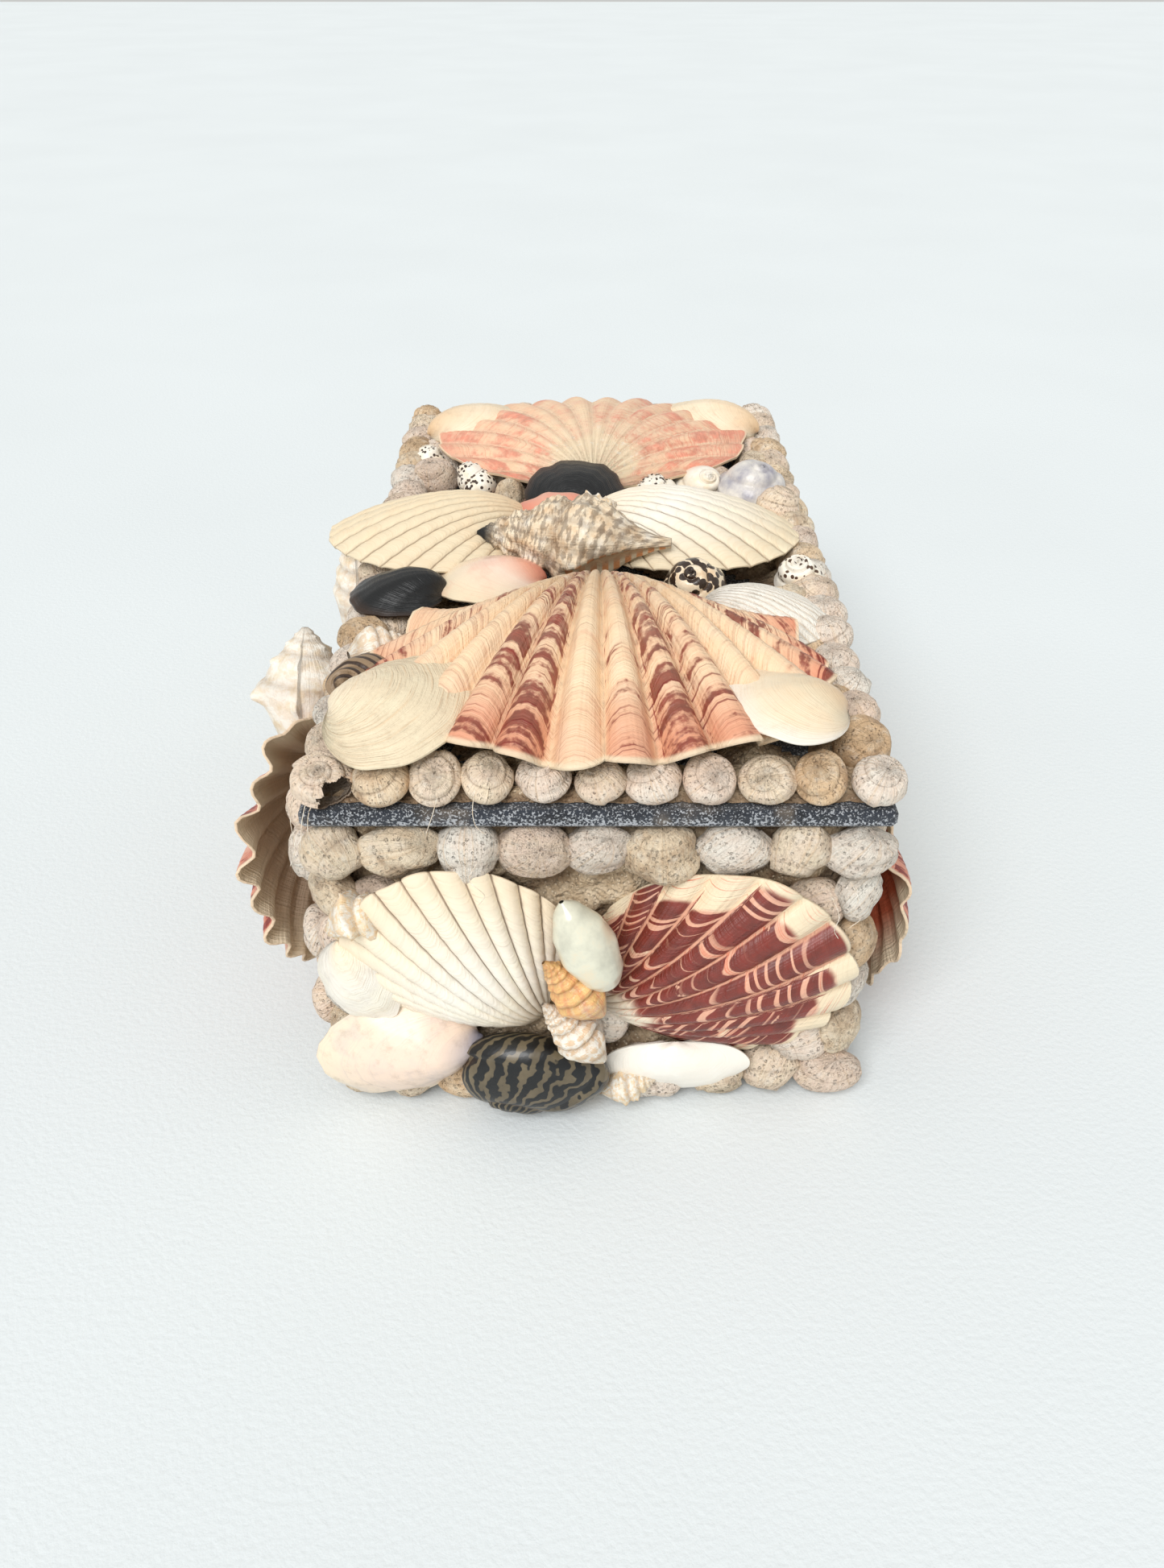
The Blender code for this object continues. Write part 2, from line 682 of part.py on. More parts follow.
def dress_back():
    half = HALF_WIDTH / PART
    over = (WALL_SNAIL_DEPTH + GAP + BEDDING) / PART
    lay_valve(
        "back_scallop", "scallop", seat(BACK_FACE, 0.0, 16, spin=180, lean=lean_over(over, 48)),
        56, 52, 1.7, fullness=1.2, ribs=12, rib_height=1.6,
    )
    lay_valve(
        "back_clam_left", "cream", seat(BACK_FACE, half - 11, 22, spin=195),
        22, 30, 1.6,
    )
    lay_valve(
        "back_clam_right", "cream", seat(BACK_FACE, 11 - half, 22, spin=165),
        22, 30, 1.6,
    )


def main():
    clear_scene()
    make_box()
    make_lid()
    dress_lid()
    dress_walls()
    dress_front()
    dress_left()
    dress_right()
    dress_back()
    for cutter in laid:
        bpy.data.objects.remove(cutter, do_unlink=True)


main()
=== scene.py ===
"""A keepsake box crusted with sea shells, dressed over its solid model.

Metres, +Z up, the same frame as the solid model. Shell sizes and places are in parts of the box's width.
"""
import math
import random

import bpy
import numpy as np
from bpy.props import FloatProperty, FloatVectorProperty, IntProperty, PointerProperty
from mathutils import Matrix, Vector


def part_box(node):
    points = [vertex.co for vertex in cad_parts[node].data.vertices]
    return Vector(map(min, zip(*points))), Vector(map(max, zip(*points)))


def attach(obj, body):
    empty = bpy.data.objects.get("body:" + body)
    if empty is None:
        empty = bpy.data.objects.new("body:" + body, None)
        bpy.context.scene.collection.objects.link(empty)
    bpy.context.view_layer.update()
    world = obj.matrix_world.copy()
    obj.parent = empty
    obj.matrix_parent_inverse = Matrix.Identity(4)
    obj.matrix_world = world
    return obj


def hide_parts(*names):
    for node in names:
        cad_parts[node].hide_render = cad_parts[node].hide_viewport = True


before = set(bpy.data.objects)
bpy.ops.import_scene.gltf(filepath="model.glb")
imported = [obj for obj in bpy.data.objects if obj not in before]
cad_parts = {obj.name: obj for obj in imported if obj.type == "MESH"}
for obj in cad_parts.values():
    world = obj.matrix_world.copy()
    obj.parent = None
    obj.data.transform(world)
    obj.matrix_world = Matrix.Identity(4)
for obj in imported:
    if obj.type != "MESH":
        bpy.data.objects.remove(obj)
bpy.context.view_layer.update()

bl_info = {
    "name": "Shell Box",
    "version": (1, 0, 0),
    "blender": (4, 5, 0),
    "location": "3D View > Sidebar > Shell Box",
    "description": "Dresses a keepsake box with sea shells, row by row and shell by shell",
    "category": "Object",
}

BODY = "root"
# Air under each shell, in metres
GAP = 0.0003

# The board box and its lid, as the solid model has them
BOX_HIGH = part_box("box")[1]
LID_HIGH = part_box("lid")[1]
HALF_WIDTH, HALF_LENGTH = BOX_HIGH.x, BOX_HIGH.y
HALF_LID_WIDTH, HALF_LID_LENGTH = LID_HIGH.x, LID_HIGH.y
# The board box is this many parts wide, and one part is this many metres
PARTS_WIDE = 102
PART = 2 * HALF_WIDTH / PARTS_WIDE


def tone(red, green, blue):
    """A colour given as a paint chart gives it, 0 to 255, turned into Blender's linear one."""
    shares = [c / 255 for c in (red, green, blue)]
    return tuple(c / 12.92 if c <= 0.04045 else ((c + 0.055) / 1.055) ** 2.4 for c in shares)


def scaled(colour, share):
    """The colour made that many times as bright."""
    return [min(1, c * share) for c in colour]


def between(first, second, share=0.5):
    """The colour that lies that share of the way from the first to the second."""
    return [(1 - share) * a + share * b for a, b in zip(first, second)]


def colour_setting(name, description, red, green, blue):
    return FloatVectorProperty(
        name=name, description=description, subtype="COLOR", size=3, min=0.0, max=1.0,
        default=tone(red, green, blue)
    )


def length_setting(name, description, default):
    return FloatProperty(
        name=name, description=description, default=default, min=0.0, unit="LENGTH", precision=4
    )


class ShellBoxSizes(bpy.types.PropertyGroup):
    """Sizes of the small shells, the glue and the loose threads."""

    snail_pitch: length_setting("Snail pitch", "From one snail of a row to the next", 0.0114)
    snail_width: length_setting("Snail width", "Width of a row of snails", 0.0124)
    snail_depth: length_setting("Snail depth", "How far a snail stands off the board", 0.0098)
    crust_depth: length_setting("Crust depth", "Depth of the sandy glue between the shells", 0.0042)
    thread_width: length_setting("Thread width", "Width of the loose threads caught in the glue", 0.00016)
    filler_shells: IntProperty(
        name="Filler shells", description="Small shells that fill the gaps of a short wall", default=24,
        min=0, max=60
    )


class ShellBoxColours(bpy.types.PropertyGroup):
    """Colours of the board, the glue and every kind of shell."""

    flock: colour_setting("Flock", "Blue-black flocked board", 38, 44, 54)
    fleck: colour_setting("Fleck", "Light flecks in the flocked board", 186, 190, 196)
    sand: colour_setting("Sand", "Sandy glue between the shells", 204, 180, 148)
    # Brown dust, and the same colour painted as shade along the seam of coiled shells, at their foot and in
    # the grooves between ribs
    grime_and_shade: colour_setting("Grime", "Brown dust in the hollows", 122, 92, 66)
    bone: colour_setting("Bone", "Bleached snail shell", 244, 226, 198)
    tan: colour_setting("Tan", "Warm snail shell", 224, 190, 150)
    mauve: colour_setting("Mauve", "Pink-grey snail shell", 240, 216, 196)
    ivory: colour_setting("Ivory", "Ground of ark shells and clams", 234, 217, 186)
    chalk: colour_setting("Chalk", "White shells", 246, 240, 228)
    peach: colour_setting("Peach", "Ground of the large scallops", 246, 214, 176)
    maroon: colour_setting("Maroon", "Dark blotches of the scallops", 126, 34, 24)
    flame: colour_setting("Flame", "Orange-red towards a scallop's edge", 218, 112, 80)
    blush: colour_setting("Blush", "Glossy pink shells", 232, 168, 142)
    coral: colour_setting("Coral", "Deep pink of the pink shells", 214, 128, 106)
    ink: colour_setting("Ink", "Blue-black shells", 9, 11, 14)
    # Brown spots and bands; darkened, the same colour is painted as shade inside holes and shell openings
    umber_and_shade: colour_setting("Umber", "Brown spots and bands", 82, 58, 42)
    olive: colour_setting("Olive", "Ground of the striped shell", 104, 92, 70)
    lilac: colour_setting("Lilac", "Shadowy blotches of the moon shell", 150, 148, 162)
    amber: colour_setting("Amber", "Orange of the small whelks", 238, 192, 124)
    jade: colour_setting("Jade", "Pale green of the smooth shell on the front", 222, 220, 200)


class ShellBoxStage(bpy.types.PropertyGroup):
    """The floor, the lights and the camera."""

    floor: colour_setting("Floor", "Pale floor", 226, 232, 234)
    sky: colour_setting("Sky", "Soft light from all round", 250, 250, 247)
    sky_strength: FloatProperty(
        name="Sky strength", description="Strength of the all-round light", default=0.62, min=0.0
    )
    key_strength: FloatProperty(
        name="Key strength", description="Strength of the wide soft main light", default=2.35, min=0.0
    )
    key_width: FloatProperty(
        name="Key width", description="How wide the main light looks", default=math.radians(32),
        subtype="ANGLE"
    )
    lens: FloatProperty(
        name="Lens", description="Focal length of the camera in millimetres", default=29.92, min=1.0
    )
    tilt: FloatProperty(
        name="Tilt", description="Camera tilt from straight down", default=math.radians(56), subtype="ANGLE"
    )


# Faces that shells are laid on
def face_frame(origin, across, up):
    """A frame at the origin whose directions are across, up and, square to both, outward."""
    across, up = Vector(across), Vector(up)
    turned = Matrix((across, up, across.cross(up))).transposed().to_4x4()
    return Matrix.Translation(origin) @ turned


LID_FACE = face_frame((0, 0, LID_HIGH.z), (1, 0, 0), (0, 1, 0))
FRONT_FACE = face_frame((0, -HALF_LENGTH, 0), (1, 0, 0), (0, 0, 1))
BACK_FACE = face_frame((0, HALF_LENGTH, 0), (-1, 0, 0), (0, 0, 1))
LEFT_FACE = face_frame((-HALF_WIDTH, 0, 0), (0, -1, 0), (0, 0, 1))
RIGHT_FACE = face_frame((HALF_WIDTH, 0, 0), (0, 1, 0), (0, 0, 1))
WALLS = {"front": FRONT_FACE, "back": BACK_FACE, "left": LEFT_FACE, "right": RIGHT_FACE}

# Edges of the lid, the half length of a side wall, and how far the large shells are lifted over the glue
RIGHT_EDGE, BACK_EDGE = HALF_LID_WIDTH / PART, HALF_LID_LENGTH / PART
LEFT_EDGE, FRONT_EDGE = -RIGHT_EDGE, -BACK_EDGE
WALL_HALF = HALF_LENGTH / PART
OVER = 9.9


def seat(face, across, up, spin=0.0, lean=0.0, roll=0.0, lift=0.0):
    """Where a shell sits: its hinge at (across, up), lifted off the face, in parts of the box's width.

    spin turns it on the face, lean raises its far end and roll its side, in degrees.
    """
    return (
        face
        @ Matrix.Translation((across * PART, up * PART, lift * PART + GAP))
        @ Matrix.Rotation(math.radians(spin), 4, "Z")
        @ Matrix.Rotation(-math.radians(lean), 4, "X")
        @ Matrix.Rotation(math.radians(roll), 4, "Y")
    )


def lean_over(height, reach):
    """The lean, in degrees, that lifts a shell's edge by height at that reach from its hinge."""
    return math.degrees(math.asin(min(0.9, height / reach)))


# Shell forms, built as grids of points
RIPPLE_WAVES = 7


def ripples(points, size, seed):
    """A smooth random height, about -1 to 1, at every point, with swellings of that size."""
    draw = np.random.default_rng(seed)
    total = np.zeros(points.shape[:-1])
    for _ in range(RIPPLE_WAVES):
        way = draw.normal(size=points.shape[-1])
        way /= np.linalg.norm(way)
        total += np.sin(
            points @ way * (2 * math.pi / size) * draw.uniform(0.6, 1.7) + draw.uniform(0, 2 * math.pi)
        )
    return total / math.sqrt(RIPPLE_WAVES)


def grid_normals(points):
    """The direction square to a grid of points at each of them."""
    down = np.gradient(points, axis=0)
    along = np.gradient(points, axis=1)
    square = np.cross(along, down)
    return square / np.maximum(np.linalg.norm(square, axis=-1, keepdims=True), 1e-12)


class Heap:
    """Collects the grids of one piece, and what its finish needs to know at each point."""

    def __init__(self):
        self.points, self.faces, self.values, self.count = [], [], [], 0

    def add(self, points, place=None, core=None, wrap=False, drop=None, **values):
        """Adds a grid. core is what its outside points away from, and drop marks the faces to leave out."""
        rows, columns = points.shape[:2]
        index = np.arange(rows * columns).reshape(rows, columns)
        if wrap:
            index = np.concatenate([index, index[:, :1]], axis=1)
        quads = np.stack([index[:-1, :-1], index[:-1, 1:], index[1:, 1:], index[1:, :-1]], -1)
        if drop is not None:
            quads = quads[~drop]
        quads = quads.reshape(-1, 4)
        flat = points.reshape(-1, 3)
        if core is not None:
            core = np.broadcast_to(core, points.shape).reshape(-1, 3)
            a, b, d = (flat[quads[:, i]] for i in (0, 1, 3))
            out = np.cross(b - a, d - a)
            if (out * (a - core[quads[:, 0]])).sum() < 0:
                quads = quads[:, ::-1]
        if place is not None:
            turn = np.array(place)
            flat = flat @ turn[:3, :3].T + turn[:3, 3]
        self.points.append(flat)
        self.faces.append(quads + self.count)
        spread = {key: np.broadcast_to(value, (rows, columns)).reshape(-1) for key, value in values.items()}
        self.values.append((len(flat), spread))
        self.count += len(flat)

    def piece(self, name, finish, slot, *nodes):
        """Makes the object, which rides on the box and stands for the named solids."""
        mesh = bpy.data.meshes.new(name)
        points, faces = np.concatenate(self.points), np.concatenate(self.faces)
        mesh.vertices.add(len(points))
        mesh.vertices.foreach_set("co", points.astype(np.float32).ravel())
        mesh.loops.add(faces.size)
        mesh.loops.foreach_set("vertex_index", faces.astype(np.int32).ravel())
        mesh.polygons.add(len(faces))
        mesh.polygons.foreach_set("loop_start", np.arange(0, faces.size, 4, dtype=np.int32))
        for key in sorted({key for _, spread in self.values for key in spread}):
            parts = [spread.get(key, np.zeros(size)) for size, spread in self.values]
            layer = mesh.attributes.new(key, "FLOAT", "POINT")
            layer.data.foreach_set("value", np.concatenate(parts).astype(np.float32))
        mesh.update(calc_edges=True)
        mesh.validate()
        mesh.shade_smooth()
        mesh.materials.append(finish)
        made = bpy.data.objects.new(name, mesh)
        bpy.context.scene.collection.objects.link(made)
        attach(made, BODY)
        if nodes:
            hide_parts(*nodes)


# Growth angle of a valve's first ray, and half the opening of its ribs, in degrees
FIRST_RAY, FAN_OPEN = 4.0, 78.0
# How small a valve starts out, and how many angles its rays are picked from
UMBO, FINE_ANGLES = 0.03, 721


def fan_angles(width, length, fullness, step):
    """Growth angles of rays that leave the hinge step degrees apart, their places across, and the reach.

    Every groove between two ribs has a ray of its own. The reach is how far the widest ray gets to the side.
    """
    angle = np.radians(np.linspace(FIRST_RAY, 180 - FIRST_RAY, FINE_ANGLES))
    reach = np.abs(np.cos(angle) * np.sin(angle) ** fullness).max()
    way = np.degrees(np.arctan2(-np.cos(angle) * width / 2 / reach, np.sin(angle) * length))
    first = math.floor((way[0] + FAN_OPEN) / step + 0.2) + 1
    last = math.ceil((way[-1] + FAN_OPEN) / step - 0.2)
    across = np.array([way[0], *(np.arange(first, last) * step - FAN_OPEN), way[-1]])
    spread_out = np.interp(across, way, angle)
    return spread_out, np.clip((across + FAN_OPEN) / (2 * FAN_OPEN), 0, 1), reach


def add_valve(
    heap, place, width, length, flatness, fullness=1.0, ribs=0, rib_height=0.0, crest_power=1.7, wall=1.1,
    ridges=14, ridge_height=0.05, wobble=0.3, chips=0.012, stains=(), seed=1, fineness=1.0, tint=0.5,
    rib_growth=0.7, frill=0.0, lobe=0.0,
):
    """One valve of a clam, cockle or scallop, with its outside, inside and edge.

    It grows out of its hinge along a logarithmic spiral. Sizes are in parts of the box's width. crest_power
    over 1 rounds the grooves between the ribs, and under 1 narrows them. stains says how strongly each rib
    is coloured, frill how far the edge waves up and down, and lobe how far the ribs reach beyond it.
    """
    rays = ribs * max(4, round(8 * fineness)) if ribs else max(30, int(56 * fineness))
    rows = max(13, int(length * fineness)) | 1
    angle, across, reach = fan_angles(width, length, fullness, 2 * FAN_OPEN / rays)
    radius = np.sin(angle) ** fullness
    crest = np.abs(np.sin(math.pi * across * ribs)) ** crest_power if ribs else np.zeros(len(angle))
    round_edge = np.stack([np.cos(angle) * 3, np.sin(angle)], -1)
    chip = 1 + chips * ripples(round_edge, 0.8, seed) + lobe * (crest - 0.5)
    side = np.cos(angle) * radius * width / 2 / reach * chip
    forward = -radius * np.sin(angle) * length * chip
    size = np.linspace(UMBO, 1, rows)[:, None]
    turn = np.log(size) / flatness
    points = np.stack([size * side, size * forward * np.cos(turn), size * forward * np.sin(turn)], -1)
    rib = np.floor(np.minimum(across, 0.9999) * ribs) if ribs else np.zeros(len(angle))
    middle = np.array([0, -0.45 * length, -0.1 * length])
    normals = grid_normals(points)
    if (normals * (points - middle)).sum() < 0:
        normals = -normals
    growth = size * ridges + 0.18 * ripples(points, width / 3, seed + 1)
    rise = rib_height * crest * radius**0.5 * size**rib_growth
    rise = rise + ridge_height * np.sin(2 * math.pi * growth) * np.minimum(1, size * 2)
    rise = rise + wobble * ripples(points, width / 1.6, seed + 2) * size
    rise = rise + frill * ripples(points[-1:], width / 4.5, seed + 3) * size**6
    outer = points + normals * rise[..., None]
    inner = outer - normals * (wall * np.minimum(1, size * 3) * (1.2 - 0.6 * size**4))[..., None]
    lip = (outer[-1] + inner[-1]) / 2 + (outer[-1] - outer[-2]) * 0.25
    stain = np.array(stains)[np.minimum(rib.astype(int), len(stains) - 1)] if stains else np.zeros(len(angle))
    known = {"across": across, "along": size, "crest": crest, "rib": rib, "stain": stain, "tint": tint}
    outer, inner, lip = outer * PART, inner * PART, lip * PART
    middle = middle * PART
    back = slice(None, None, -2)
    inside = {**known, "along": size[back], "inside": 1.0}
    heap.add(outer, place, core=middle, inside=0.0, **known)
    heap.add(inner[back], place, core=2 * inner[back] - middle, **inside)
    heap.add(np.stack([outer[-1], lip, inner[-1]]), place, core=middle, inside=0.4, **{**known, "along": 1.0})
    heap.add(np.stack([outer[0], inner[0]]), place, core=middle, inside=0.0, **{**known, "along": UMBO})
    for end in (0, -1):
        strip = np.stack([outer[:, end], inner[:, end]], 1)
        heap.add(strip, place, core=middle, across=across[end], along=size, rib=rib[end], tint=tint)


# Where a coiled shell's first lap starts, and its first and last ring from the top
LAP_START = 0.35
TOP_RING, LAST_RING = 0.008, 0.995
# Cosine of the angle between the middle of a hole and its edge
HOLE_EDGE = 0.76


def add_snail(
    heap, place, size, turn=None, growth=1.9, peak=0.25, boxy=0.85, seam_depth=0.12, tint=0.5, rows=18,
    columns=28, broken=None, seed=1, lip=0.12, lumps=0.03,
):
    """A low, smooth snail shell whose seam winds out from the top, fitted into a box of that size.

    peak raises its spire, boxy under 1 squares its body, and broken is the direction of a hole in it.
    """
    v = TOP_RING + (LAST_RING - TOP_RING) * np.linspace(0, 1, rows)[:, None] ** 1.3
    theta = np.linspace(0, 2 * math.pi, columns, endpoint=False)[None, :]
    girth = np.sin(v * math.pi) ** boxy
    girth[[0, -1]] = 0.01
    upright = np.cos(v * math.pi)
    upright = np.where(upright > 0, upright * (0.75 + peak * upright), 0.8 * upright)
    ring = -np.log(np.clip(np.sin(np.minimum(v, 0.5) * math.pi), 0.02, 1)) / math.log(growth)
    lap = ring - theta / (2 * math.pi) + LAP_START
    bulge = np.sin(math.pi * (lap - np.floor(lap))) ** 0.5
    top = np.clip((lap + LAP_START) / 0.15, 0, 1) * (v < 0.5)
    body = np.clip((v - 0.12) / 0.3, 0, 1)
    scale = (1 - seam_depth * (1 - bulge) * top) * (1 + lip * body * (theta / (2 * math.pi) - 0.5))
    flat = np.stack([np.cos(theta) * girth, np.sin(theta) * girth, upright + 0 * theta], -1)
    points = flat * (scale * (1 + lumps * ripples(flat, 1.3, seed)))[..., None]
    turned = np.array(turn if turn is not None else Matrix.Identity(3))
    points = points @ turned.T
    low, high = points.reshape(-1, 3).min(0), points.reshape(-1, 3).max(0)
    foot = np.array([(low[0] + high[0]) / 2, (low[1] + high[1]) / 2, low[2]])
    points = (points - foot) * (np.array(size) * PART / (high - low))
    tall = size[2] * PART
    middle = np.array([0, 0, tall / 2])
    known = {"ring": ring, "turn_x": np.cos(theta), "turn_y": np.sin(theta), "around": v, "tint": tint}
    drop = None
    if broken is not None:
        way = np.array(broken) / np.linalg.norm(broken)
        away = (points - middle) / np.linalg.norm(points - middle, axis=-1, keepdims=True)
        hit = (away @ way + 0.05 * ripples(flat, 0.6, seed)) > HOLE_EDGE
        hit = np.concatenate([hit, hit[:, :1]], axis=1)
        drop = hit[:-1, :-1] & hit[1:, 1:]
    heap.add(
        points, place, core=middle, wrap=True, drop=drop, mouth=0.0, height=points[..., 2] / tall, **known
    )
    if broken is not None:
        # The inside of the hole gets mouth, which the finishes paint dark as shade
        shell = middle + (points - middle) * 0.9
        heap.add(shell, place, core=2 * shell - middle, wrap=True, drop=drop, mouth=0.55, height=0.6, **known)


def add_spindle(
    heap, place, length, girth, profile, shoulder=0.45, growth=1.5, seam_depth=0.18, ribs=0, rib_height=0.0,
    cords=0, cord_height=0.0, knobs=0, knob_height=0.0, mouth=None, bend=0.0, steps=72, sides=48, seed=1,
    tint=0.5, flattening=0.85,
):
    """A spired shell lying on its side, tip at +Y and canal at -Y, with a seam that winds up its spire.

    profile lists (share of length, share of girth) from the canal to the tip. mouth is the side, in degrees,
    that the opening faces.
    """
    share = np.linspace(0.0, 1.0, steps + 1)
    wide = np.interp(share, *zip(*profile))
    for _ in range(2):
        wide[1:-1] = (wide[:-2] + 2 * wide[1:-1] + wide[2:]) / 4
    share, wide = share[:, None], wide[:, None]
    theta = np.linspace(0, 2 * math.pi, sides, endpoint=False)[None, :]
    inner = np.clip((1 - share) / (1 - shoulder), 0.02, 3)
    lap = -np.log(inner) / math.log(growth) - theta / (2 * math.pi)
    whorl = lap - np.floor(lap)
    bulge = np.sin(math.pi * whorl) ** 0.55
    upper = np.clip((lap + 0.6) / 0.2, 0, 1)
    form = 1 - seam_depth * (1 - bulge) * upper
    ribbing = np.cos(ribs * (theta + 0.35 * lap)) if ribs else np.zeros_like(lap)
    cording = np.cos(2 * math.pi * cords * lap) if cords else np.zeros_like(lap)
    above = np.clip((share - 0.08) / 0.25, 0, 1) * np.clip((1 - share) * 6, 0, 1)
    studs = np.zeros_like(lap)
    if knobs:
        studs = np.maximum(0, np.cos(knobs * theta)) ** 3 * np.exp(-(((whorl - 0.62) / 0.16) ** 2)) * upper
    height = girth / 2 * flattening
    radius = girth / 2 * wide * form
    raised = above * (rib_height * ribbing * bulge + cord_height * cording)
    radius = radius + raised + knob_height * studs * wide
    flat = np.stack([np.cos(theta) * radius, (share - 0.5) * length + 0 * theta, np.sin(theta) * radius], -1)
    radius = radius * (1 + 0.025 * ripples(flat, girth * 0.8, seed))
    opening = np.zeros_like(radius)
    if mouth is not None:
        apart = (theta - math.radians(mouth) + math.pi) % (2 * math.pi) - math.pi
        spot = ((share - 0.27) / 0.24) ** 2 + (apart / 0.62) ** 2
        opening = np.exp(-(spot**2))
        rim = np.exp(-(((spot - 1.25) / 0.5) ** 2))
        radius = radius * (1 - 0.62 * opening) + 0.05 * girth * rim * wide
    curve = bend * length * (share - 0.45) ** 2
    points = np.stack(
        [
            np.cos(theta) * radius + curve,
            (share - 0.5) * length + 0 * theta,
            np.maximum(height + np.sin(theta) * radius, 0),
        ],
        -1,
    ) * PART
    core = np.stack([curve, (share - 0.5) * length, height + 0 * share], -1) * PART
    heap.add(
        points, place, core=core, wrap=True, whorl=whorl, along=share, around=theta / (2 * math.pi),
        seam=1 - bulge, crest=0.5 + 0.5 * ribbing, cord=0.5 + 0.5 * cording, mouth=opening, tint=tint,
        height=points[..., 2] / (girth * PART),
    )


def add_crust(heap, face, low, high, depth, seed, cell=1.7, fade=5.0, bare=None, rim=12.0):
    """Lumpy glue over part of a face, from low to high, thinning out towards its edges.

    bare leaves the board clear in places further than rim from the edges, in more of them as it grows.
    """
    across = np.linspace(low[0], high[0], max(2, int((high[0] - low[0]) / cell)))
    up = np.linspace(low[1], high[1], max(2, int((high[1] - low[1]) / cell)))
    x, y = np.meshgrid(across, up)
    flat = np.stack([x, y], -1)
    lumps = 0.5 + 0.32 * ripples(flat, 22, seed) + 0.22 * ripples(flat, 8, seed + 1)
    lumps = lumps + 0.14 * ripples(flat, 3.5, seed + 2)
    border = np.minimum(np.minimum(x - low[0], high[0] - x), np.minimum(y - low[1], high[1] - y))
    lumps = np.clip(lumps, 0.12, 1.4) * np.clip(border / fade, 0, 1) ** 0.5
    drop = None
    if bare is not None:
        patch = np.clip((ripples(flat, 26, seed + 4) - bare) / 0.5, 0, 1)
        patch = np.maximum(patch, np.clip((rim - border) / 5, 0, 1))
        lumps = lumps * patch**0.5
        gone = patch <= 0
        drop = gone[:-1, :-1] & gone[1:, 1:] & gone[:-1, 1:] & gone[1:, :-1]
    jog = ripples(flat, 5, seed + 3) * 0.4
    points = np.stack([x + jog, y + jog, lumps * depth], -1) * PART
    heap.add(
        points, face @ Matrix.Translation((0, 0, GAP)), core=points - np.array([0, 0, 1]), drop=drop,
        lump=lumps
    )


def add_thread(heap, knots, width, sides=5, steps=10):
    """A thin thread through a few points."""
    knots = np.array(knots)
    at = np.linspace(0, len(knots) - 1, steps * (len(knots) - 1) + 1)
    line = np.stack([np.interp(at, range(len(knots)), knots[:, i]) for i in range(3)], -1)
    for _ in range(steps):
        line[1:-1] = (line[:-2] + 2 * line[1:-1] + line[2:]) / 4
    ahead = np.gradient(line, axis=0)
    ahead /= np.linalg.norm(ahead, axis=-1, keepdims=True)
    side = np.cross(ahead, np.array([0.3, 0.5, 0.8]))
    side /= np.linalg.norm(side, axis=-1, keepdims=True)
    over = np.cross(ahead, side)
    turn = np.linspace(0, 2 * math.pi, sides, endpoint=False)[None, :, None]
    points = line[:, None] + (np.cos(turn) * side[:, None] + np.sin(turn) * over[:, None]) * width / 2
    heap.add(points, core=line[:, None] + 0 * points, wrap=True)


